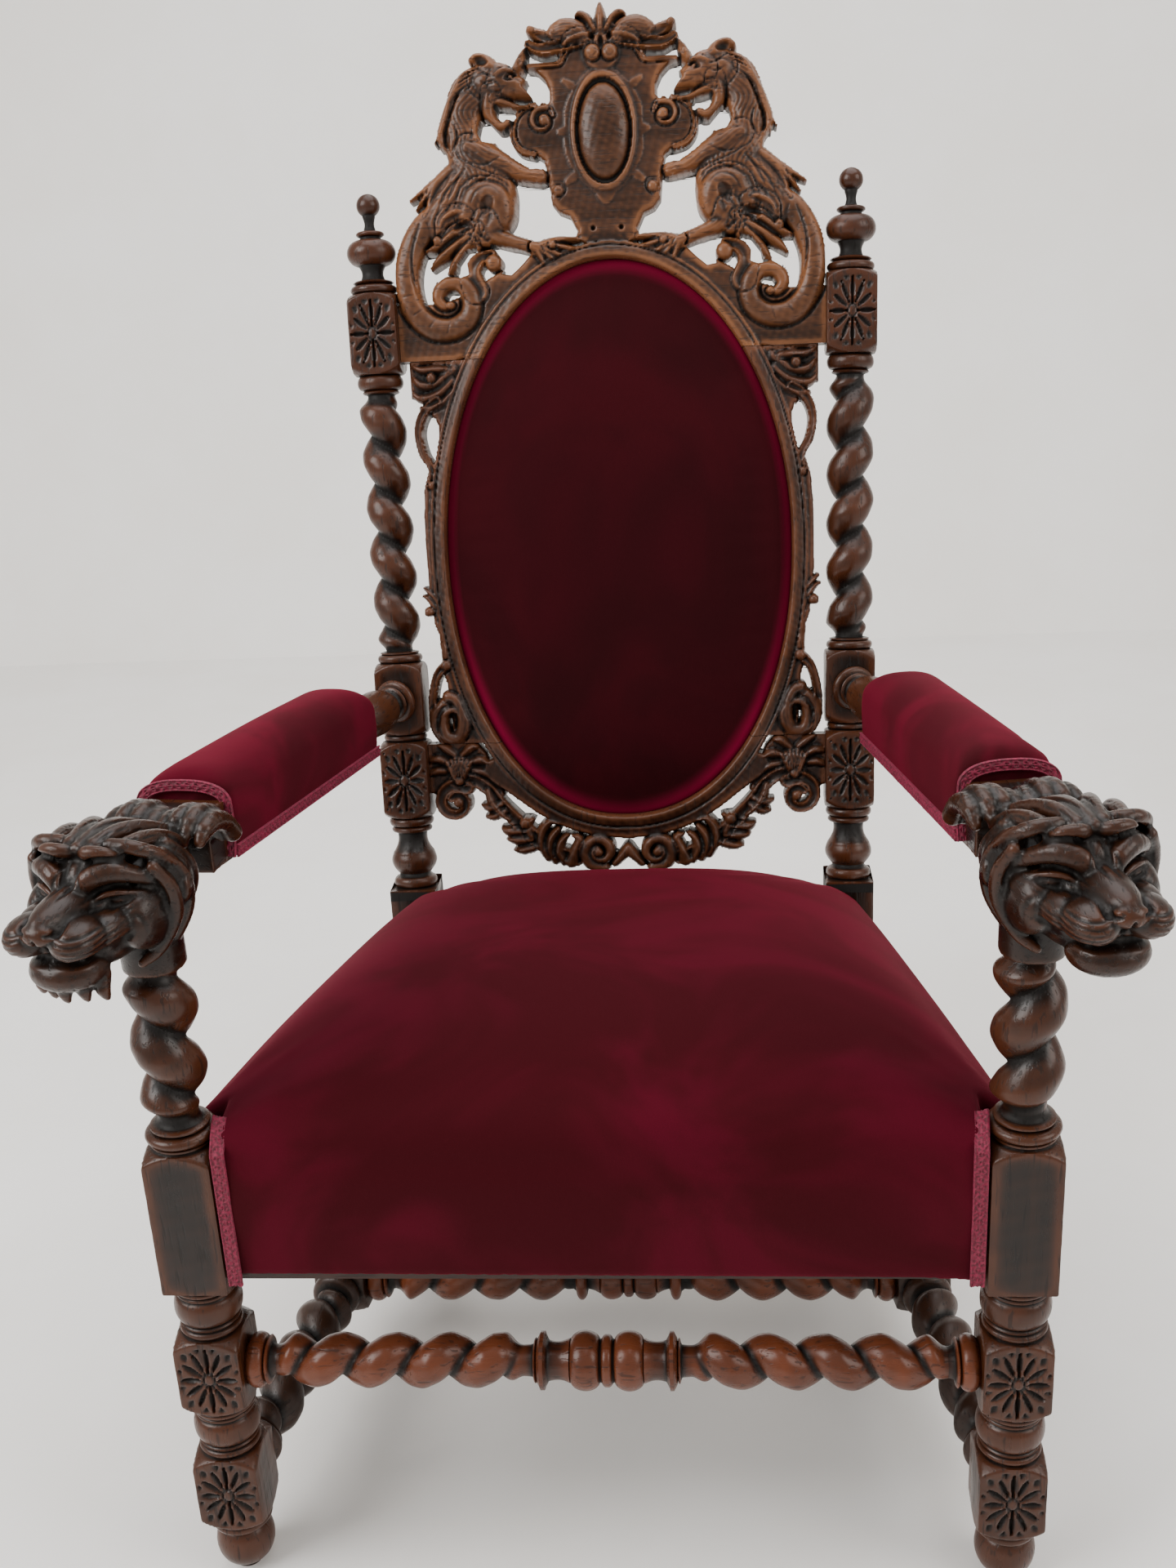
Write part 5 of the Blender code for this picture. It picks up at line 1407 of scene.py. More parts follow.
for start, end in (((34, 722), (26, 726)), ((22, 718), (17, 724)), ((9, 714), (4, 722))):
    incise(crest, [(*start, 1, 1.4), (*end, 1, 0.6)])
pit(crest, 15, 733, 2.7, 2.7, 7)
print("shield drawn")

# %% Crest: the beasts
# Tail, from the haunch out and round into its scroll
stroke(crest, [
    (170, 760, 17, 20), (200, 742, 16, 22), (217, 715, 15, 23), (222, 685, 14, 23), (216, 656, 14, 22),
    (198, 636, 14, 21), (174, 633, 13, 21), (155, 646, 12, 21), (152, 667, 11, 21), (164, 682, 10, 21),
    (181, 680, 9, 21), (188, 668, 8, 21), (182, 658, 6, 20), (174, 659, 4, 20)], "round", moat=3)
incise(crest, [
    (205, 744, 2, 1.5), (214, 716, 2.4, 2.5), (214, 690, 2.4, 3.2), (205, 662, 2.4, 3.2),
    (190, 648, 2.2, 3.2), (173, 647, 2, 2.6), (164, 658, 1.8, 2.6), (168, 670, 1.6, 2.4),
    (178, 672, 1.4, 2.2), (182, 665, 1.2, 1.6)])
for step in range(8):
    angle = math.radians(64 - 21 * step)
    middle = (172 + 48 * math.cos(angle), 690 + 54 * math.sin(angle))
    across_cut = [
        (middle[0] - 7 * math.cos(angle + 0.35), middle[1] - 7 * math.sin(angle + 0.35), 0.9, 0.5),
        (middle[0] + 8 * math.cos(angle), middle[1] + 8 * math.sin(angle), 1.1, 1.3)]
    incise(crest, across_cut)
ball(crest, 174, 658, 4.6, 22, 1.6)
# Curled volute that carries the tail, with its ball
stroke(crest, [
    (146, 672, 14, 16), (151, 692, 11, 17), (142, 706, 8, 18), (128, 711, 6, 18)], "band", moat=1.5)
ball(crest, 126, 702, 9.5, 20, 2.2)
# Wing tuft behind the shoulder, in three feathers
for tip, bend in (((215, 771), 7), ((209, 761), 3), ((199, 753), -1)):
    stroke(crest, [
        (146, 808, 9, 19), (164, 801 + bend * 0.4, 8, 20), (186, 784 + bend * 0.6, 6.5, 19),
        (*tip, 1.6, 15)], "leaf", 2.6, 0.9, 1.6)
# Neck and body
stroke(crest, [
    (124, 890, 20, 22), (142, 882, 22, 23), (152, 860, 21, 23), (151, 836, 23, 24), (142, 812, 29, 26),
    (134, 788, 33, 27), (132, 764, 35, 28), (136, 746, 28, 27)], "round", 5, 1, 0, wave=3.4)
stroke(crest, [(150, 782, 27, 25), (168, 762, 25, 24), (184, 744, 20, 23)], "round", 5.5, 0.8, wave=2.6)
for start, middle, end in (
        ((150, 800), (164, 784), (172, 766)), ((158, 792), (174, 776), (184, 756)),
        ((132, 838), (128, 826), (130, 812)), ((142, 846), (142, 832), (150, 816)),
        ((160, 846), (158, 832), (164, 818)), ((160, 772), (172, 760), (178, 744))):
    incise(crest, [(*start, 0.9, 1.2), (*middle, 2.2, 2.8), (*end, 0.9, 0.8)])
# Mane: long locks down the back of the neck
for shift in (0, 1, 2, 3):
    stroke(crest, [
        (130 + shift * 4, 905 - shift * 5, 4.4, 24), (150 + shift * 4, 896 - shift * 7, 4.8, 24.5),
        (164 + shift * 3, 872 - shift * 7, 5, 24 - shift), (171 + shift * 2, 850 - shift * 6, 4.4, 22),
        (184 - shift * 6, 829 - shift * 5, 1.4, 17)], "leaf", 2.4, 0.7, 1.4)
# Shoulder, foreleg and paw against the shield
stroke(crest, [(146, 822, 14, 27), (126, 812, 15, 28), (104, 800, 11, 25), (86, 792, 8.5, 22),
               (70, 789, 8.5, 19)], "round", 4.2, 0.8, 2, wave=1.8)
for level in (-4.5, -0.5, 3.5):
    incise(crest, [(84, 791 + level, 1.1, 0.8), (72, 789 + level, 1.3, 2), (63, 788 + level, 1.2, 2.2)])
for start, end, side in (
        ((120, 818), (150, 826), 5), ((112, 810), (146, 806), -5), ((118, 796), (148, 790), -6),
        ((124, 832), (140, 842), 3)):
    middle = ((start[0] + end[0]) / 2, (start[1] + end[1]) / 2 + side)
    incise(crest, [(*start, 0.8, 0.9), (*middle, 1.8, 2.2), (*end, 0.8, 0.7)])
# Haunch, hind leg and leafy paw
stroke(crest, [(152, 752, 14, 27), (140, 772, 17, 30), (120, 768, 19, 32), (115, 750, 16, 30),
               (126, 738, 12, 28)], "round", 0, 0, 2.6)
pit(crest, 129, 761, 7.5, 11, 4, 0.5)
incise(crest, [
    (150, 778, 1.5, 1.6), (134, 787, 2, 2.4), (112, 782, 2, 2.4), (102, 766, 1.6, 2), (103, 748, 1, 1)])
incise(crest, [(146, 764, 1.2, 1.2), (138, 776, 1.6, 1.6), (124, 780, 1.4, 1.4), (113, 772, 1, 1)])
stroke(crest, [(132, 744, 14, 28), (122, 731, 10, 26), (104, 723, 8, 24), (84, 716, 8, 22),
               (66, 711, 9, 20)], "round", 3.6, 0.7, 2.4)
for tip, size in (((33, 722), 3.4), ((36, 711), 4), ((44, 700), 4.2), ((56, 697), 4), ((70, 696), 3.6)):
    stroke(crest, [(80, 716, 6, 21), ((80 + tip[0]) / 2, (716 + tip[1]) / 2 + 2, size + 1.8, 21),
                   (*tip, size, 18)], "leaf", 2.8, 1.1, 1.5)
ball(crest, 60, 716, 4.2, 22, 1.4)
# Leaves that hang from the haunch over the tail's inner side
for leaf in (
        [(150, 752, 6, 27), (163, 756, 8, 28), (178, 748, 8, 27), (184, 734, 4, 22)],
        [(140, 738, 6, 27), (146, 728, 6, 25), (142, 718, 4, 22)],
        [(152, 740, 8, 25), (168, 734, 8, 25), (184, 722, 7, 24), (198, 716, 3, 20)],
        [(152, 730, 7, 24), (168, 720, 7, 24), (184, 708, 6, 22), (194, 698, 2.5, 18)],
        [(150, 724, 6, 23), (162, 710, 7, 23), (172, 697, 4.5, 20), (176, 689, 2, 17)]):
    stroke(crest, leaf, "leaf", 2.8, 1, 2)
pit(crest, 157, 740, 11, 6.5, 7, -0.3)
ball(crest, 186, 726, 5, 25, 1.5)
print("bodies drawn")

# %% Crest: heads and palmette
stroke(crest, [(124, 890, 20, 27), (112, 889, 20, 30), (99, 882, 14, 28)], "round", 0, 0, 2)
stroke(crest, [
    (108, 887, 15, 29), (94, 882, 12.5, 28), (84, 878, 10, 27), (77, 877, 9, 26)], "round", 0, 0, 1.5)
for level in (-4, -1.2, 1.8):
    incise(crest, [
        (98, 876 + level, 0.9, 0.9), (86, 871 + level, 1.1, 1.6), (74, 868 + level * 0.7, 0.9, 1.2)])
ball(crest, 77, 883, 5, 29, 1.4)
pit(crest, 76, 880, 2, 1.4, 4)
incise(crest, [(92, 890, 1, 1), (87, 886, 1.6, 2.6), (84, 882, 1, 1.2)])
# Lower jaw with its curled tuft
stroke(crest, [
    (120, 876, 11, 25), (124, 862, 8, 23), (120, 850, 6.5, 21), (110, 843, 5.6, 21), (101, 848, 4.4, 21),
    (100, 856, 2.6, 19)], "round", 2.8, 0.9, 1.5)
stroke(crest, [(116, 871, 6, 23), (104, 866, 4.6, 22), (92, 861, 3.6, 21), (82, 861, 2.2, 19)], "round",
       2.4, 0.7, 1.2)
# Eye, brow and cheek
pit(crest, 98, 891, 7.5, 3.6, 5, -0.45)
ball(crest, 98, 890.5, 2.2, 27, 0.7)
incise(crest, [(93, 888, 0.8, 1.4), (98.5, 886.5, 1, 2), (105, 888.5, 0.8, 1.4)])
swell(crest, [(88, 893, 3, 3), (95, 897, 4.2, 6), (104, 898, 4.2, 6), (113, 893, 3, 4)])
swell(crest, [(90, 899, 2, 1.5), (99, 903, 2.6, 3), (110, 902, 2.4, 2.5)])
incise(crest, [(90, 892, 0.9, 1.6), (98, 899.5, 1.1, 2.2), (108, 899.5, 1.1, 2), (114, 894, 0.9, 1.2)])
for start, middle, end in (
        ((104, 881), (112, 876), (120, 878)), ((106, 874), (114, 869), (124, 868)),
        ((112, 886), (121, 884), (130, 888)), ((118, 893), (128, 896), (138, 892))):
    incise(crest, [(*start, 0.9, 1.2), (*middle, 1.4, 2.2), (*end, 0.9, 1)])
# Ears: the outer one round and hollow, the inner one pointed
stroke(crest, [
    (116, 900, 8, 27), (125, 908, 9.5, 28), (134, 913, 7, 26), (141, 912, 3.4, 23)], "round", 0, 0, 1.8)
pit(crest, 129, 909, 8.5, 5, 8, 0.35)
stroke(crest, [
    (92, 899, 7, 26), (88, 907, 6.5, 25), (84, 916, 4, 22), (81, 921, 1.8, 19)], "leaf", 0, 0, 1.6)
pit(crest, 87, 908, 2.6, 7, 5, 0.35)
# Palmette
stroke(crest, [(0, 914, 22, 18), (0, 930, 20, 19)], "flat")
stroke(crest, [
    (22, 926, 8, 20), (48, 920, 7.5, 20), (66, 919, 6.5, 19), (78, 925, 5, 18)], "band", 2.4, 0.6, 1.4)
stroke(crest, [
    (44, 929, 7, 20), (58, 931, 8, 21), (70, 936, 6.5, 21), (76, 939, 4.5, 21)], "leaf", 2.6, 0.9, 1.2)
pit(crest, 62, 931, 10, 4, 5, 0.3)
ball(crest, 75, 938, 4.6, 23, 1)
stroke(crest, [(16, 925, 8, 22), (24, 934, 12.5, 25), (38, 937, 13, 25), (49, 935, 9, 22)], "round", 3.4,
       1.3, 1.6, wave=0.5)
stroke(crest, [
    (12, 930, 6, 24), (22, 929, 7.5, 26), (33, 926, 6.5, 24), (40, 922, 3, 20)], "leaf", 2.6, 1, 1.6)
stroke(crest, [
    (6, 936, 5, 24), (13, 947, 5.5, 24), (20, 952, 5, 23), (25, 951, 2.8, 20)], "leaf", 2.4, 1, 1.4)
stroke(crest, [(0, 936, 6.5, 24), (0, 948, 6.5, 25), (0, 957, 4, 23), (0, 963, 1.6, 20)], "leaf", 2.4, 1,
       1.6, slant=1)
ball(crest, 9, 912, 8.8, 25, 2.2)
incise(crest, [(4, 912, 1, 1.2), (9, 907, 1.2, 1.8), (14, 911, 1, 1.2)])
pit(crest, 9.5, 929, 2.9, 3.3, 8)
pit(crest, 0, 923, 2.6, 6, 6)
for corners in (
        [(45, 907.5), (78, 907.5), (79, 913), (64, 911.5), (49, 913)],
        [(94, 852), (99, 861), (109, 862), (110, 855), (105, 850), (98, 847)],
        [(110, 834), (126, 852), (134, 850), (137, 838), (132, 828), (120, 826)],
        [(61, 868), (62, 884), (70, 889), (83, 888), (86, 880), (70, 862)],
        [(69, 799), (72, 808), (84, 807), (82, 797)],
        [(80, 775), (68, 771), (60, 756), (51, 747), (41, 743), (40, 732), (55, 727), (79, 722),
         (93, 735), (87, 751)],
        [(118, 717), (100, 714), (84, 709), (95, 698), (107, 688), (118, 690), (114, 701)],
        [(140, 721), (156, 716), (166, 703), (168, 691), (187, 691), (190, 681), (178, 689), (162, 687),
         (154, 691), (155, 702), (148, 712)]):
    opening(crest, corners)
moulding(crest)
crest_board = board_from("crest_rail_carved", crest, 600.3, 965)
give(crest_board, crest_oak, "crest_rail")

# %% [markdown]
# The stiles are mirror images. Each has acanthus at the top, a tendril that leaves the board
# and returns, a small leaf with a ball half way down, and a tall looped scroll at the foot.

# %% Stiles
for side, label in ((-1, "left"), (1, "right")):
    low_x, high_x = sorted((140 * side, 236 * side))
    stile = new_board(low_x, high_x, 171, 601, side)
    plate(stile, [(150, 602), (150, 560), (226, 560), (226, 602)], 12)
    plate(stile, [
        (150, 560), (205, 560), (204, 540), (197, 530), (197, 500), (205, 486), (211, 478), (216, 460),
        (218, 423), (218, 357), (215, 330), (213, 309), (208, 296), (206, 268), (204, 250), (201, 240),
        (196, 170), (150, 170)], 13)
    for leaf in (
            [(182, 604, 6, 16), (196, 606, 7, 18), (209, 602, 6, 19), (216, 608, 3, 18)],
            [(176, 590, 6, 16), (186, 582, 7, 18), (198, 574, 7, 19), (213, 574, 6, 19),
             (221, 582, 2.5, 17)],
            [(178, 578, 5, 16), (188, 568, 6, 18), (202, 560, 7, 19), (216, 560, 5, 18),
             (223, 566, 2.2, 16)],
            [(184, 590, 5, 17), (197, 590, 6, 19), (211, 590, 5, 19), (221, 594, 2.2, 17)],
            [(178, 566, 4, 16), (188, 556, 5, 17), (202, 549, 5, 18), (214, 548, 4, 17)]):
        stroke(stile, leaf, "leaf", 2.7, 1, 1.6)
    ball(stile, 216, 607, 6.5, 21)
    ball(stile, 201, 581, 5.5, 22)
    stroke(stile, [(196, 556, 5, 18), (208, 548, 5.5, 18), (216, 536, 5.5, 18), (219, 520, 5, 17),
                   (215, 500, 5, 17), (208, 488, 4.5, 17), (204, 476, 5, 18), (206, 463, 4.5, 17)],
           "band", 0, 0, 1.6)
    ball(stile, 206, 464, 4.6, 19)
    for leaf in (
            [(202, 318, 4, 15), (206, 332, 5, 17), (214, 342, 4, 17), (222, 350, 2, 15)],
            [(206, 316, 4, 15), (211, 328, 4.5, 17), (218, 338, 3.6, 17), (224, 341, 1.8, 15)],
            [(200, 300, 3.5, 14), (202, 316, 4, 16), (206, 328, 3, 16)]):
        stroke(stile, leaf, "leaf", 2.4, 0.9, 1.3)
    ball(stile, 217, 323, 6, 20)
    stroke(stile, [(198, 292, 5, 16), (199, 278, 6.5, 18), (200, 264, 5, 16)], "leaf", 2.6, 0.9, 1.4)
    stroke(stile, [
        (200, 262, 6, 18), (210, 252, 5.5, 18), (216, 236, 5, 17), (219, 216, 5, 17), (218, 196, 5, 17),
        (213, 182, 6, 17), (202, 172, 7, 17)], "band", 0, 0, 1.6)
    ball(stile, 200, 262, 6.2, 20)
    stroke(stile, spiral(196, 196, 0.2, -1.1, 23, 13, 8, 18), "round", 4, 0.6, 1.8)
    stroke(stile, [(200, 226, 7, 19), (191, 222, 7, 20), (185, 208, 7, 20), (184, 192, 7.5, 20),
                   (191, 178, 8, 20), (203, 180, 7.5, 20), (207, 194, 6.5, 20), (203, 208, 5.5, 19),
                   (196, 212, 4, 18)], "round", 3.6, 0.6, 2)
    pit(stile, 195, 196, 5, 10, 7)
    stroke(stile, [(195, 186, 2.4, 14), (196, 194, 1.8, 14)], "leaf")
    for corners in (
            [(199, 538), (206, 538), (210, 528), (210, 512), (206, 503), (200, 500), (197, 515)],
            [(203, 246), (208, 245), (211, 236), (209, 230), (204, 232)]):
        opening(stile, corners)
    moulding(stile)
    piece = board_from("back_stile_" + label + "_carved", stile, 172.3, 599.7)
    give(piece, stile_oak, "back_stile_" + label)

# %% [markdown]
# The bottom rail hangs in open scrolls under the oval: a ribbed shell at each end, a big
# C-scroll below it, leaf sprays along the band and two spirals that meet in the middle.

# %% Bottom rail
rail = new_board(-237, 237, 16, 173)
plate(rail, [
    (176, 180), (236, 180), (236, 116), (222, 112), (206, 122), (192, 126), (176, 126), (158, 118),
    (146, 104), (140, 110), (160, 160)], 11)
stroke(rail, [
    (198, 128, 8, 15), (176, 128, 8, 16), (158, 116, 8, 16), (146, 100, 8, 16), (128, 80, 9, 16),
    (106, 58, 10, 16), (84, 42, 10, 16), (60, 33, 9, 16)], "band", 3.4, 0.7, 1.5)
stroke(rail, spiral(197, 103, 0.36, -1.25, 21.5, 7, 8.5, 17, 11), "band", 0, 0, 1.5)
ball(rail, 194, 103, 6, 20, 1.6)
for turn_share in np.linspace(-0.9, 0.9, 7):
    stroke(rail, [
        (192 + 3 * turn_share, 126, 3, 18), (192 + 10 * turn_share, 140, 3.2, 20),
        (192 + 15 * turn_share, 154 - 5 * turn_share ** 2, 2.8, 18)], "round", 0, 0, 1.2)
ball(rail, 192, 128, 5, 20, 1.2)
for leaf in (
        [(196, 158, 5, 16), (206, 166, 6, 18), (214, 170, 3, 16)],
        [(188, 158, 5, 16), (178, 166, 6, 18), (170, 168, 3, 16)],
        [(206, 150, 5, 16), (216, 154, 6, 18), (225, 152, 3, 16)],
        [(178, 150, 5, 16), (167, 152, 6, 18), (158, 148, 3, 16)],
        [(176, 140, 5, 15), (165, 138, 5.5, 17), (156, 132, 3, 15)],
        [(208, 140, 5, 15), (218, 140, 5.5, 17), (227, 136, 3, 15)]):
    stroke(rail, leaf, "leaf", 2.8, 1, 1.5)
for leaf in (
        [(160, 116, 5, 18), (156, 104, 6.5, 20), (146, 90, 6, 20), (136, 82, 2.5, 17)],
        [(146, 100, 5, 17), (158, 96, 6, 18), (167, 99, 2.4, 15)],
        [(142, 92, 5, 17), (154, 86, 6, 17), (163, 86, 2.4, 15)],
        [(118, 68, 6, 17), (136, 68, 7, 18), (145, 72, 2.4, 15)],
        [(110, 58, 6, 17), (128, 58, 7, 18), (139, 59, 2.4, 15)],
        [(104, 50, 6, 17), (120, 46, 6.5, 17), (131, 46, 2.4, 15)]):
    stroke(rail, leaf, "leaf", 2.8, 1, 1.5)
for leaf in (
        [(92, 36, 6, 18), (100, 52, 7, 20), (99, 68, 6.5, 21), (90, 78, 5, 20), (80, 76, 3, 18)],
        [(84, 32, 6, 18), (90, 46, 7, 21), (88, 60, 6.5, 22), (80, 70, 4, 20)],
        [(74, 30, 6, 18), (80, 42, 7, 21), (78, 54, 6, 21), (70, 62, 3.4, 18)],
        [(112, 62, 6, 18), (116, 74, 6, 19), (110, 82, 3.4, 17)]):
    stroke(rail, leaf, "leaf", 3, 1, 2)
ball(rail, 118, 78, 6.5, 21, 1.6)
stroke(rail, [(66, 30, 8, 18), (60, 44, 7.5, 20), (56, 56, 6, 20), (62, 62, 4, 18)], "round", 3.4, 0.6, 2)
stroke(rail, spiral(33, 42, -0.28, 1.45, 19.5, 5, 8.5, 19, 12), "round", 0, 0, 2.2)
ball(rail, 34, 42, 5.4, 23, 2)
stroke(rail, [(0, 44, 8, 18), (8, 36, 6, 17), (16, 28, 5, 16)], "round", 0, 0, 1.5)
stroke(rail, [
    (0, 66, 10, 15), (40, 70, 9, 15), (70, 78, 8, 15), (98, 94, 8, 15), (124, 116, 10, 15),
    (150, 140, 14, 14)], "flat")
for corners in (
        [(101, 80), (101, 86), (113, 92), (121, 90), (118, 86), (110, 84)],
        [(55, 64.5), (58, 66), (70, 67.5), (71, 64), (62, 62)]):
    opening(rail, corners)
moulding(rail)
bottom = board_from("back_bottom_rail_carved", rail, 22, 171.7)
give(bottom, stile_oak, "back_bottom_rail")

# %% [markdown]
# Each arm ends in a lion's head. The carver roughs out round masses first, then cuts the
# brows, lids, whiskers and mane. Here the masses are spheres laid along short curves and
# fused with a voxel remesh; the cuts then move the fused surface in and out along curves.

# %% Tools for the lions
head_turn = math.radians(13)
head_place = Vector((0.366, front_y - 0.001, 0.678))
muzzle = 1.06


def head_matrix(side):
    """From the head's own millimetres (across, forwards, up) to the throne's frame."""
    place = Vector((side * head_place.x, head_place.y, head_place.z))
    turned = Matrix.Rotation(math.pi + side * head_turn, 4, "Z")
    return Matrix.Translation(place) @ turned @ Matrix.Scale(0.001, 4)


def clay(matrix, place, size, detail=3):
    """Add one rounded mass to the mesh in edit mode; the face is drawn out forwards."""
    place = (place[0], max(place[1], muzzle * place[1]), place[2])
    bpy.ops.mesh.primitive_ico_sphere_add(subdivisions=detail, radius=1, location=matrix @ Vector(place),
                                          rotation=matrix.to_euler(),
                                          scale=[value * 0.001 for value in size])


def clay_path(matrix, points):
    """A lock or ridge: spheres close together along a smooth curve of (x, y, z, radius)."""
    points = np.array(points, dtype=float)
    last = len(points) - 1
    for index in range(last):
        step = np.linalg.norm((points[index + 1] - points[index])[:3])
        steps = max(2, int(step / (0.55 * max(points[index][3], 2))))
        for share in np.arange(steps + (index == last - 1)) / steps:
            spot = between(points, index, share)
            clay(matrix, spot[:3], [max(spot[3], 0.8)] * 3, 2)


def cut_paths(local, normals, paths, depth):
    """Move points along their normals near each path, ((points), width, height).

    A small depth lets a curve drawn in the face's front view reach the surface behind it.
    """
    moved = np.zeros(len(local))
    squeeze = np.array((1, depth, 1))
    seen = normals[:, 1] > -0.2 if depth < 1 else np.ones(len(local), dtype=bool)
    local_near = local * squeeze
    for points, width, height in paths:
        points = np.array(points, dtype=float)
        points[:, 1] = np.maximum(points[:, 1], muzzle * points[:, 1])
        reach = np.array((width, width / depth, width))
        inside = ((local > points.min(0) - reach) & (local < points.max(0) + reach)).all(1)
        area = np.nonzero(inside & seen)[0]
        points *= squeeze
        nearest = np.full(len(area), 1e6)
        taper = np.zeros(len(area))
        count = len(points) - 1
        for index, (start, end) in enumerate(zip(points, points[1:])):
            step = end - start
            share = np.clip((local_near[area] - start) @ step / (step @ step), 0, 1)
            distance = np.linalg.norm(local_near[area] - start - share[:, None] * step, axis=1)
            closer = distance < nearest
            nearest = np.where(closer, distance, nearest)
            taper = np.where(closer, (index + share) / count, taper)
        ease = np.clip(4 * taper * (1 - taper) + 0.25, 0, 1)
        moved[area] += height * ease * np.clip(1 - nearest / width, 0, 1)
    return local + normals * moved[:, None]


def bend(points, count=6):
    """More points along a smooth curve through three or four."""
    points = np.array(points, dtype=float)
    places = np.linspace(0, len(points) - 1, count * (len(points) - 1) + 1)
    fit = np.array([np.polyfit(np.arange(len(points)), points[:, axis], len(points) - 1)
                    for axis in range(3)])
    return np.stack([np.polyval(fit[axis], places) for axis in range(3)], axis=1)


def both(points):
    """A curve and its mirror image across the middle of the face."""
    return [points, [(-point[0],) + tuple(point[1:]) for point in points]]


print("lion tools ready")

# %% Lion: masses and locks


def lion_masses(matrix, side):
    for place, size in (((0, -6, -2), (52, 44, 40)), ((0, 26, -28), (38, 46, 24)),
                        ((0, 62, -40), (31, 28, 17)), ((0, 52, 4), (18, 46, 16)),
                        ((0, 90, 0), (14, 9, 9)), ((0, 26, 18), (30, 20, 17)),
                        ((0, -40, 2), (40, 44, 28)), ((0, 60, -18), (28, 24, 12))):
        clay(matrix, place, size)
    for sign in (-1, 1):
        for place, size in (((20, 72, -10), (20, 25, 16)), ((40, 14, -16), (18, 32, 27)),
                            ((28, 27, 6), (13, 12, 9)), ((17, 40, 1), (9, 9, 9)),
                            ((44, -10, 2), (19, 26, 30)), ((28, 48, -12), (17, 24, 15))):
            clay(matrix, (place[0] * sign, place[1], place[2]), size)
        ridge = [(8, 46, 13, 6), (14, 43, 23, 9), (27, 35, 27, 9.5), (40, 25, 22, 7.5), (50, 12, 12, 5)]
        fold = [(52, 8, 2, 3.5), (45, 23, -6, 4), (33, 35, -7, 4), (21, 45, -3, 3)]
        upper_lid = [(15, 44, 3, 2.6), (24, 41, 10, 3), (35, 34, 11, 3), (45, 23, 7, 2.6)]
        lower_lid = [(15, 44, 2, 2.2), (25, 41, -1, 2.6), (36, 34, 0, 2.6), (45, 23, 6, 2.2)]
        first_curl = [(3, 28, 37, 5), (12, 36, 42, 6), (26, 34, 41, 5.5), (33, 27, 33, 3.5)]
        second_curl = [(22, 20, 42, 6), (38, 20, 41, 6.5), (51, 10, 33, 6), (57, -2, 20, 4.5)]
        locks = [[(52, 16, 24, 6), (59, 8, 4, 7), (57, 6, -20, 7.5), (46, 14, -44, 6), (34, 22, -55, 4)],
                 [(50, 2, 28, 7), (58, -10, 6, 8), (56, -12, -20, 8), (44, -6, -46, 6.5), (30, 2, -58, 4)],
                 [(44, -14, 30, 7), (52, -28, 8, 8), (48, -32, -14, 8), (38, -24, -36, 6)],
                 [(10, 24, 42, 7), (14, 2, 43, 8), (22, -22, 38, 8), (30, -44, 28, 6)],
                 [(28, 22, 40, 7), (34, 0, 38, 8), (40, -22, 32, 7), (44, -40, 20, 5)],
                 [(0, 30, 42, 6), (0, 6, 44, 7), (2, -20, 40, 7), (4, -42, 32, 6)]]
        ear = [(54, -2, 8, 5), (62, -6, 2, 5), (62, -4, -8, 4.5), (56, 0, -12, 4)]
        for path in [ridge, fold, upper_lid, lower_lid, first_curl, second_curl, ear] + locks:
            clay_path(matrix, [(point[0] * sign,) + tuple(point[1:]) for point in path])
    for centre in (40 * side, -8 * side):
        for shift in (-15, -5, 5, 15):
            sink = abs(shift) * 0.5
            clay_path(matrix, [(centre + shift, -96, 8, 9), (centre + shift, -86, 28 - sink, 9),
                               (centre + shift * 1.1, -68, 36 - sink, 9.5),
                               (centre + shift * 1.2, -52, 35 - sink, 8),
                               (centre + shift * 1.2, -42, 28 - sink, 5)])
    if side < 0:
        for spot in (-24, -12, 0, 12, 24):
            clay_path(matrix, [(spot, 66 - abs(spot) * 0.3, -46, 8),
                               (spot * 1.1, 72 - abs(spot) * 0.4, -56, 6),
                               (spot * 1.15, 70 - abs(spot) * 0.4, -64, 3)])


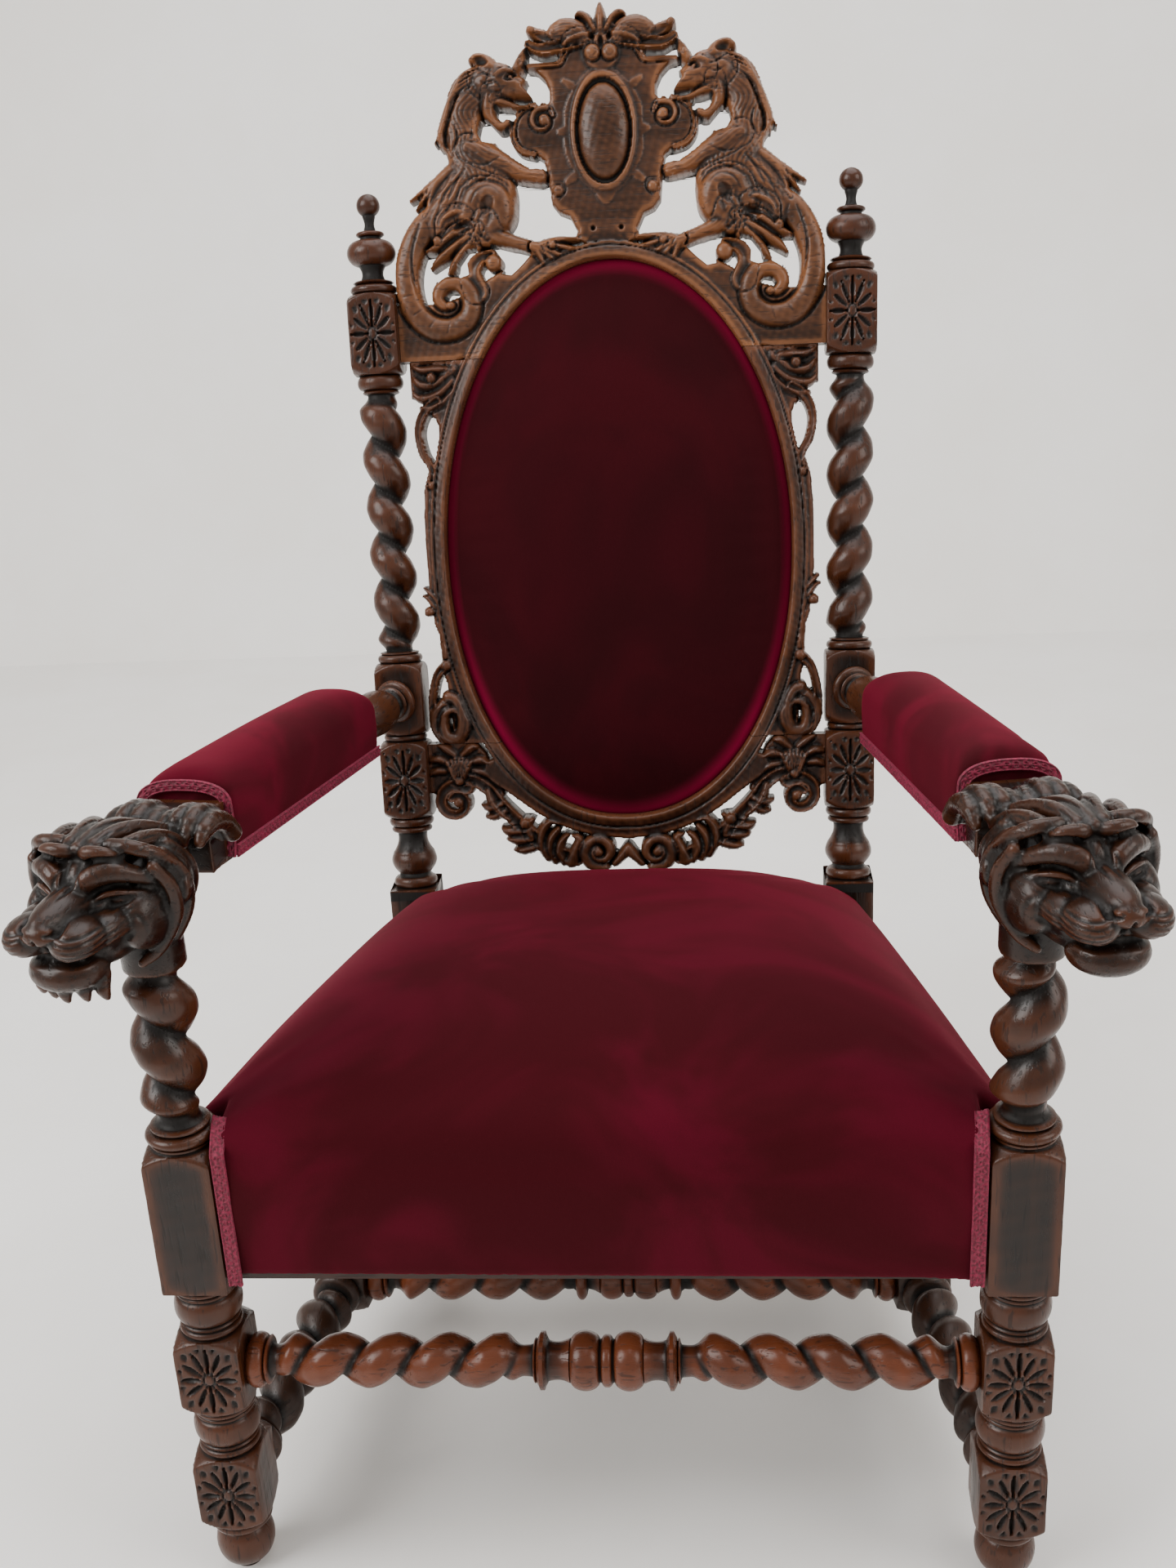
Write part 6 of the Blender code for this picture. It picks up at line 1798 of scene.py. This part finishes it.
def lion_cuts(side):
    """Grooves and ridges of the face, each curve mirrored, and those of the mane."""
    face = []
    cuts = []
    for rise in range(6):
        level = 2 - rise * 4.6
        whisker = bend([(14 + rise, 93 - rise * 1.2, level - 2), (30, 84, level - 4),
                        (41, 68, level - 2), (44, 54, level + 1)])
        face += [(path, 1.7, -1.7) for path in both([tuple(point) for point in whisker])]
    for points, width, height in (
            ([(14, 46, 9), (24, 42, 15), (35, 34, 15), (46, 22, 9)], 2.2, -2.2),
            ([(18, 44, 5), (25, 42, 7), (34, 36, 7.5), (42, 27, 6)], 1.8, -2.4),
            ([(18, 44, 3), (26, 42, 2), (35, 36, 2.5), (42, 27, 5)], 1.8, -2.2),
            ([(16, 47, -3), (26, 43, -5), (36, 35, -4), (46, 23, 1)], 2.2, -2.4),
            ([(9, 42, 32), (20, 42, 38), (34, 34, 37), (48, 18, 26)], 3.0, -3.0),
            ([(19, 56, -2), (17, 74, 2), (15, 88, 4)], 3.6, -2.8),
            ([(8, 94, 3), (13, 93, 1), (17, 88, 3)], 2.6, -3.6),
            ([(0, 96, -2), (0, 95, -10), (0, 91, -20)], 2.6, -3.6),
            ([(0, 90, -22), (14, 92, -25), (30, 80, -25), (40, 62, -22), (44, 44, -18)], 4.2, -6.0),
            ([(4, 92, -31), (20, 84, -33), (32, 70, -32)], 3.0, 1.2),
            ([(12, 48, 18), (8, 46, 30)], 2.2, -1.4),
            ([(4, 44, 36), (5, 48, 24), (3, 54, 16)], 2.6, -2.2),
            ([(46, 30, -4), (52, 18, -16), (48, 16, -34)], 2.6, -2.0),
            ([(54, 8, 14), (57, 4, -6), (53, 8, -30)], 2.6, -2.4)):
        face += [(path, width, height) for path in both([tuple(point) for point in bend(points, 4)])]
    for lock in range(5):
        for strand in (-1, 0, 1):
            x = 4 + lock * 10 + strand * 3.0
            cuts += [(path, 1.5, -1.3) for path in both([tuple(point)
                                                         for point in bend([(x, 30 - lock * 2,
                                                                             48 - lock * 2),
                                                                            (x + 3, 6, 50 - lock * 2.5),
                                                                            (x + 7, -30, 42 - lock * 3)],
                                                                           5)])]
            cuts += [(path, 1.5, -1.3) for path in both([tuple(point)
                                                         for point in bend([(56,
                                                                             14 - lock * 9 + strand
                                                                             * 2.4, 26),
                                                                            (64,
                                                                             4 - lock * 9 + strand * 2.4,
                                                                             0),
                                                                            (56,
                                                                             6 - lock * 8 + strand * 2.4,
                                                                             -34)], 5)])]
    for strand in range(12):
        x = (64 - strand * 8) * side
        cuts.append((bend([(x, -96, 26), (x * 0.98, -70, 47), (x, -42, 36)], 5), 1.9, -2.2))
    if side < 0:
        for spot in range(9):
            x = -30 + spot * 7.4
            cuts.append((bend([(x, 80, -44), (x, 84 - abs(x) * 0.3, -54), (x, 74, -64)], 4), 1.6, -1.4))
    return face, cuts


print("lion drawn")

# %% [markdown]
# The arm itself is a plain board under the pad with a turned end at the rear post: a disc, a
# long bulb and a collar. The head, board and turned end are one carved piece.

# %% Arms
for side, label in ((-1, "left"), (1, "right")):
    matrix = head_matrix(side)
    bpy.ops.object.select_all(action="DESELECT")
    bpy.ops.mesh.primitive_cylinder_add(vertices=40, radius=0.0255, depth=0.05,
                                        location=(side * front_x, front_y, post_top + 0.0258))
    head = bpy.context.object
    head.name = "arm_" + label + "_lion"
    bpy.ops.object.transform_apply(location=True, rotation=True, scale=True)
    mode("EDIT")
    lion_masses(matrix, side)
    neck = on_arm(side, 0.094)
    bpy.ops.mesh.primitive_cube_add(size=1, location=neck, rotation=(0, 0, side * math.atan(arm_lean)),
                                    scale=(0.074, 0.03, 0.052))
    mode("OBJECT")
    fuse = head.modifiers.new("fuse", "REMESH")
    fuse.mode = "VOXEL"
    fuse.voxel_size = 0.0016
    soften = head.modifiers.new("soften", "SMOOTH")
    soften.iterations = 5
    pick(head)
    bpy.ops.object.modifier_apply(modifier=fuse.name)
    bpy.ops.object.modifier_apply(modifier=soften.name)
    bpy.ops.object.shade_smooth()
    inverse = np.array(matrix.inverted())
    normals = np.empty(len(head.data.vertices) * 3)
    head.data.vertices.foreach_get("normal", normals)
    local = points_of(head) @ inverse[:3, :3].T + inverse[:3, 3]
    facing = normals.reshape(-1, 3) @ inverse[:3, :3].T
    facing /= np.linalg.norm(facing, axis=1)[:, None]
    face_cuts, mane_cuts = lion_cuts(side)
    local = cut_paths(local, facing, face_cuts, 0.12)
    local = cut_paths(local, facing, mane_cuts, 1.0)
    forward_map = np.array(matrix)
    set_points(head, local @ forward_map[:3, :3].T + forward_map[:3, 3])
    read_wear(head, 5, 0.0008)

    rows = []
    for depth in np.linspace(0.101, 0.514, 24):
        corner = [(-1, -1), (-1, 1), (1, 1), (1, -1)]
        outline = []
        for (x, z), (next_x, next_z) in zip(corner, corner[1:] + corner[:1]):
            outline += [on_arm(side, depth, 0.0358 * (x + (next_x - x) * s),
                               0.0258 * (z + (next_z - z) * s)) for s in np.linspace(0, 1, 9)[:-1]]
        rows.append(outline + outline[:1])
    board = close_roll("arm_board_" + label, np.array(rows).reshape(-1, 3), len(rows), len(rows[0]))

    post_place = Vector((side * (rear_x + spread * 0.226), -rear_half - 0.0004, 0.226))
    rear = back_plane @ post_place
    start = on_arm(side, 0.516)
    axis = start - rear
    length = axis.length
    end_rows = (straight(0.0, 0.0012, 0.0205, 0.0225, 2) + bead(0.0014, 0.011, 0.0248, 0.02, 8)
                + bead(0.0116, 0.016, 0.019, 0.015, 5) + cove(0.0164, 0.023, 0.014, 0.0135, 0.001, 5)
                + bead(0.0232, length * 0.8, 0.025, 0.013, 22)
                + cove(length * 0.805, length * 0.835, 0.013, 0.015, 0.001, 4)
                + bead(length * 0.84, length, 0.024, 0.018, 8))
    aim = Matrix.Translation(rear) @ axis.to_track_quat("Z", "Y").to_matrix().to_4x4()
    turned_end = turning("arm_end_" + label, end_rows, np.linspace(0, 2 * np.pi, 49),
                         (1, 0, 0.05, 0.02, 0.01), aim)
    bpy.ops.object.select_all(action="DESELECT")
    for piece in (board, turned_end, head):
        piece.select_set(True)
    bpy.context.view_layer.objects.active = head
    bpy.ops.object.join()
    give(head, lion_oak, "arm_" + label)

# %% [markdown]
# Gimp braid runs along edges of the seat's and the arm pads' velvet. It is a flat woven strip: two
# cords along the edges and two more that cross in a row of diamonds. The strip is a rolled grid whose
# top carries the weave, laid along a path with a normal at each point.

# %% Braid


def braid(name, path, normals, width=0.012):
    """A woven strip along a path of points, with its underside closed."""
    path = np.array(path, dtype=float)
    normals = np.array(normals, dtype=float)
    run = np.concatenate([[0], np.cumsum(np.linalg.norm(np.diff(path, axis=0), axis=1))])
    count = max(12, int(run[-1] / 0.0013))
    places = np.linspace(0, run[-1], count)
    centre = np.stack([np.interp(places, run, path[:, axis]) for axis in range(3)], axis=1)
    normal = np.stack([np.interp(places, run, normals[:, axis]) for axis in range(3)], axis=1)
    normal /= np.linalg.norm(normal, axis=1)[:, None]
    tangent = np.gradient(centre, axis=0)
    tangent /= np.maximum(np.linalg.norm(tangent, axis=1), 1e-9)[:, None]
    sideways = np.cross(tangent, normal)
    sideways /= np.linalg.norm(sideways, axis=1)[:, None]
    wave = places / 0.0155
    zigzag = np.abs((wave % 1) - 0.5) * 4 - 1
    rows = []
    across = np.linspace(-1, 1, 13)
    for index in range(count):
        cords = np.zeros(13)
        for middle in (zigzag[index] * 0.62, -zigzag[index] * 0.62, 0.0):
            size = 0.24 if middle else 0.15
            twist = 1 + 0.22 * math.sin(places[index] / 0.0021 * 6.28 + middle * 3)
            cords = np.maximum(cords, np.sqrt(np.clip(1 - ((across - middle) / size) ** 2, 0, 1)) * twist)
        edge = np.sqrt(np.clip(1 - ((np.abs(across) - 0.86) / 0.15) ** 2, 0, 1))
        ripple = 1 + 0.25 * math.sin(places[index] / 0.0024 * 6.28)
        height = 0.0007 + 0.0011 * cords + 0.0012 * edge * ripple
        reach = across * width / 2 * (1 + 0.02 * math.sin(places[index] / 0.0031 * 6.28))
        top = centre[index] + np.outer(reach, sideways[index]) + np.outer(height, normal[index])
        under = centre[index] + np.outer(np.array([1, -1]) * width / 2,
                                         sideways[index]) - normal[index] * 0.0006
        rows.append(np.concatenate([top, under, top[:1]]))
    strip = close_roll(name, np.array(rows).reshape(-1, 3), count, 16, wear=False)
    bpy.ops.object.shade_smooth_by_angle(angle=math.radians(55))
    give(strip, braid_thread, None)
    return strip


# Seat: up each side of the front blocks and along the lower edges of the velvet
for side, label in ((-1, "left"), (1, "right")):
    upright = [(side * 0.3045, front_y - 0.0275, z) for z in np.linspace(0.321, 0.448, 14)]
    upright += [(side * (0.3045 + 0.004 * s), front_y - 0.027 + 0.03 * s,
                 0.448 + 0.016 * math.sin(s * 1.5)) for s in np.linspace(0.2, 1, 5)]
    facing = [(0, -1, 0)] * 14 + [(-side * 0.3, -0.8 + 0.7 * s, 0.5 + 0.3 * s)
                                  for s in np.linspace(0.2, 1, 5)]
    braid("seat_braid_upright_" + label, upright, facing)
    depths = np.linspace(0.036, 0.566, 40)
    lower = [(side * (front_x + (rear_x - front_x) * d / post_depth + 0.0085), front_y + d,
              rail_level(d) - 0.099) for d in depths]
    braid("seat_braid_side_" + label, lower, [(side, 0.15, 0)] * 40)
    # Arm pads: an inverted U round the front end and a run along both lower edges
    section = pad_section(0.0135)[:33]
    middle = [on_arm(side, pad_front - 0.0008, x * 0.93, z * 0.9) for x, z in section]
    front_normal = (side * 0.11, -1, 0.12)
    braid("arm_braid_front_" + label, middle, [front_normal] * len(middle), 0.01)
    for edge, word in ((-1, "inner"), (1, "outer")):
        runs = np.linspace(pad_front + 0.004, pad_rear - 0.004, 40)
        line = [on_arm(side, d, -side * edge * 0.0418, -0.0185) for d in runs]
        braid("arm_braid_" + word + "_" + label, line, [tuple(on_arm(side, d, -side * edge * 1.0)
                                                              - on_arm(side, d)) for d in runs], 0.011)
print("braid laid")

# %% [markdown]
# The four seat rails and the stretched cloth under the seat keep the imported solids' shape,
# which is right: plain boards and a flat cloth. They only need their finishes.

# %% Finishes of the plain pieces
for name, material in (("seat_rail_front", cross_oak), ("seat_rail_back", cross_oak),
                       ("seat_rail_left", side_oak), ("seat_rail_right", side_oak),
                       ("seat_base", dust_cloth)):
    frame["nodes"][name].data.materials.clear()
    frame["nodes"][name].data.materials.append(material)
print("rails and cloth finished")
# %% [markdown]
# The pale floor and wall are one sheet: a plane whose far edge is extruded upwards. The wall
# stands well behind the throne, so that the throne can also be seen from behind.

# %% Floor and wall
bpy.ops.object.select_all(action="DESELECT")
bpy.ops.mesh.primitive_plane_add(size=1)
floor = bpy.context.object
floor.name = "floor_and_wall"
wall_y = 2.7
set_points(floor, [(-7, -4, 0), (7, -4, 0), (-7, wall_y, 0), (7, wall_y, 0)])
mode("EDIT")
bpy.ops.mesh.select_mode(type="EDGE")
bpy.ops.mesh.select_all(action="DESELECT")
mode("OBJECT")
for edge in floor.data.edges:
    edge.select = all(floor.data.vertices[index].co.y > 0 for index in edge.vertices)
mode("EDIT")
bpy.ops.mesh.extrude_region_move(TRANSFORM_OT_translate={"value": (0, 0.55, 4)})
mode("OBJECT")
plaster, tree, shader, spot = new_finish("pale_plaster", Roughness=0.75)
cloud = node(tree, "ShaderNodeTexNoise", {"Vector": spot, "Scale": 2.2, "Detail": 5.0, "Roughness": 0.6})
pale = blend_colours(tree, ramp(tree, cloud.outputs["Fac"], 0.3, 0.7), (0.89, 0.87, 0.84, 1),
                     (0.93, 0.92, 0.905, 1))
tree.links.new(pale, shader.inputs["Base Color"])
floor.data.materials.append(plaster)
print("floor and wall", len(floor.data.polygons), "faces")
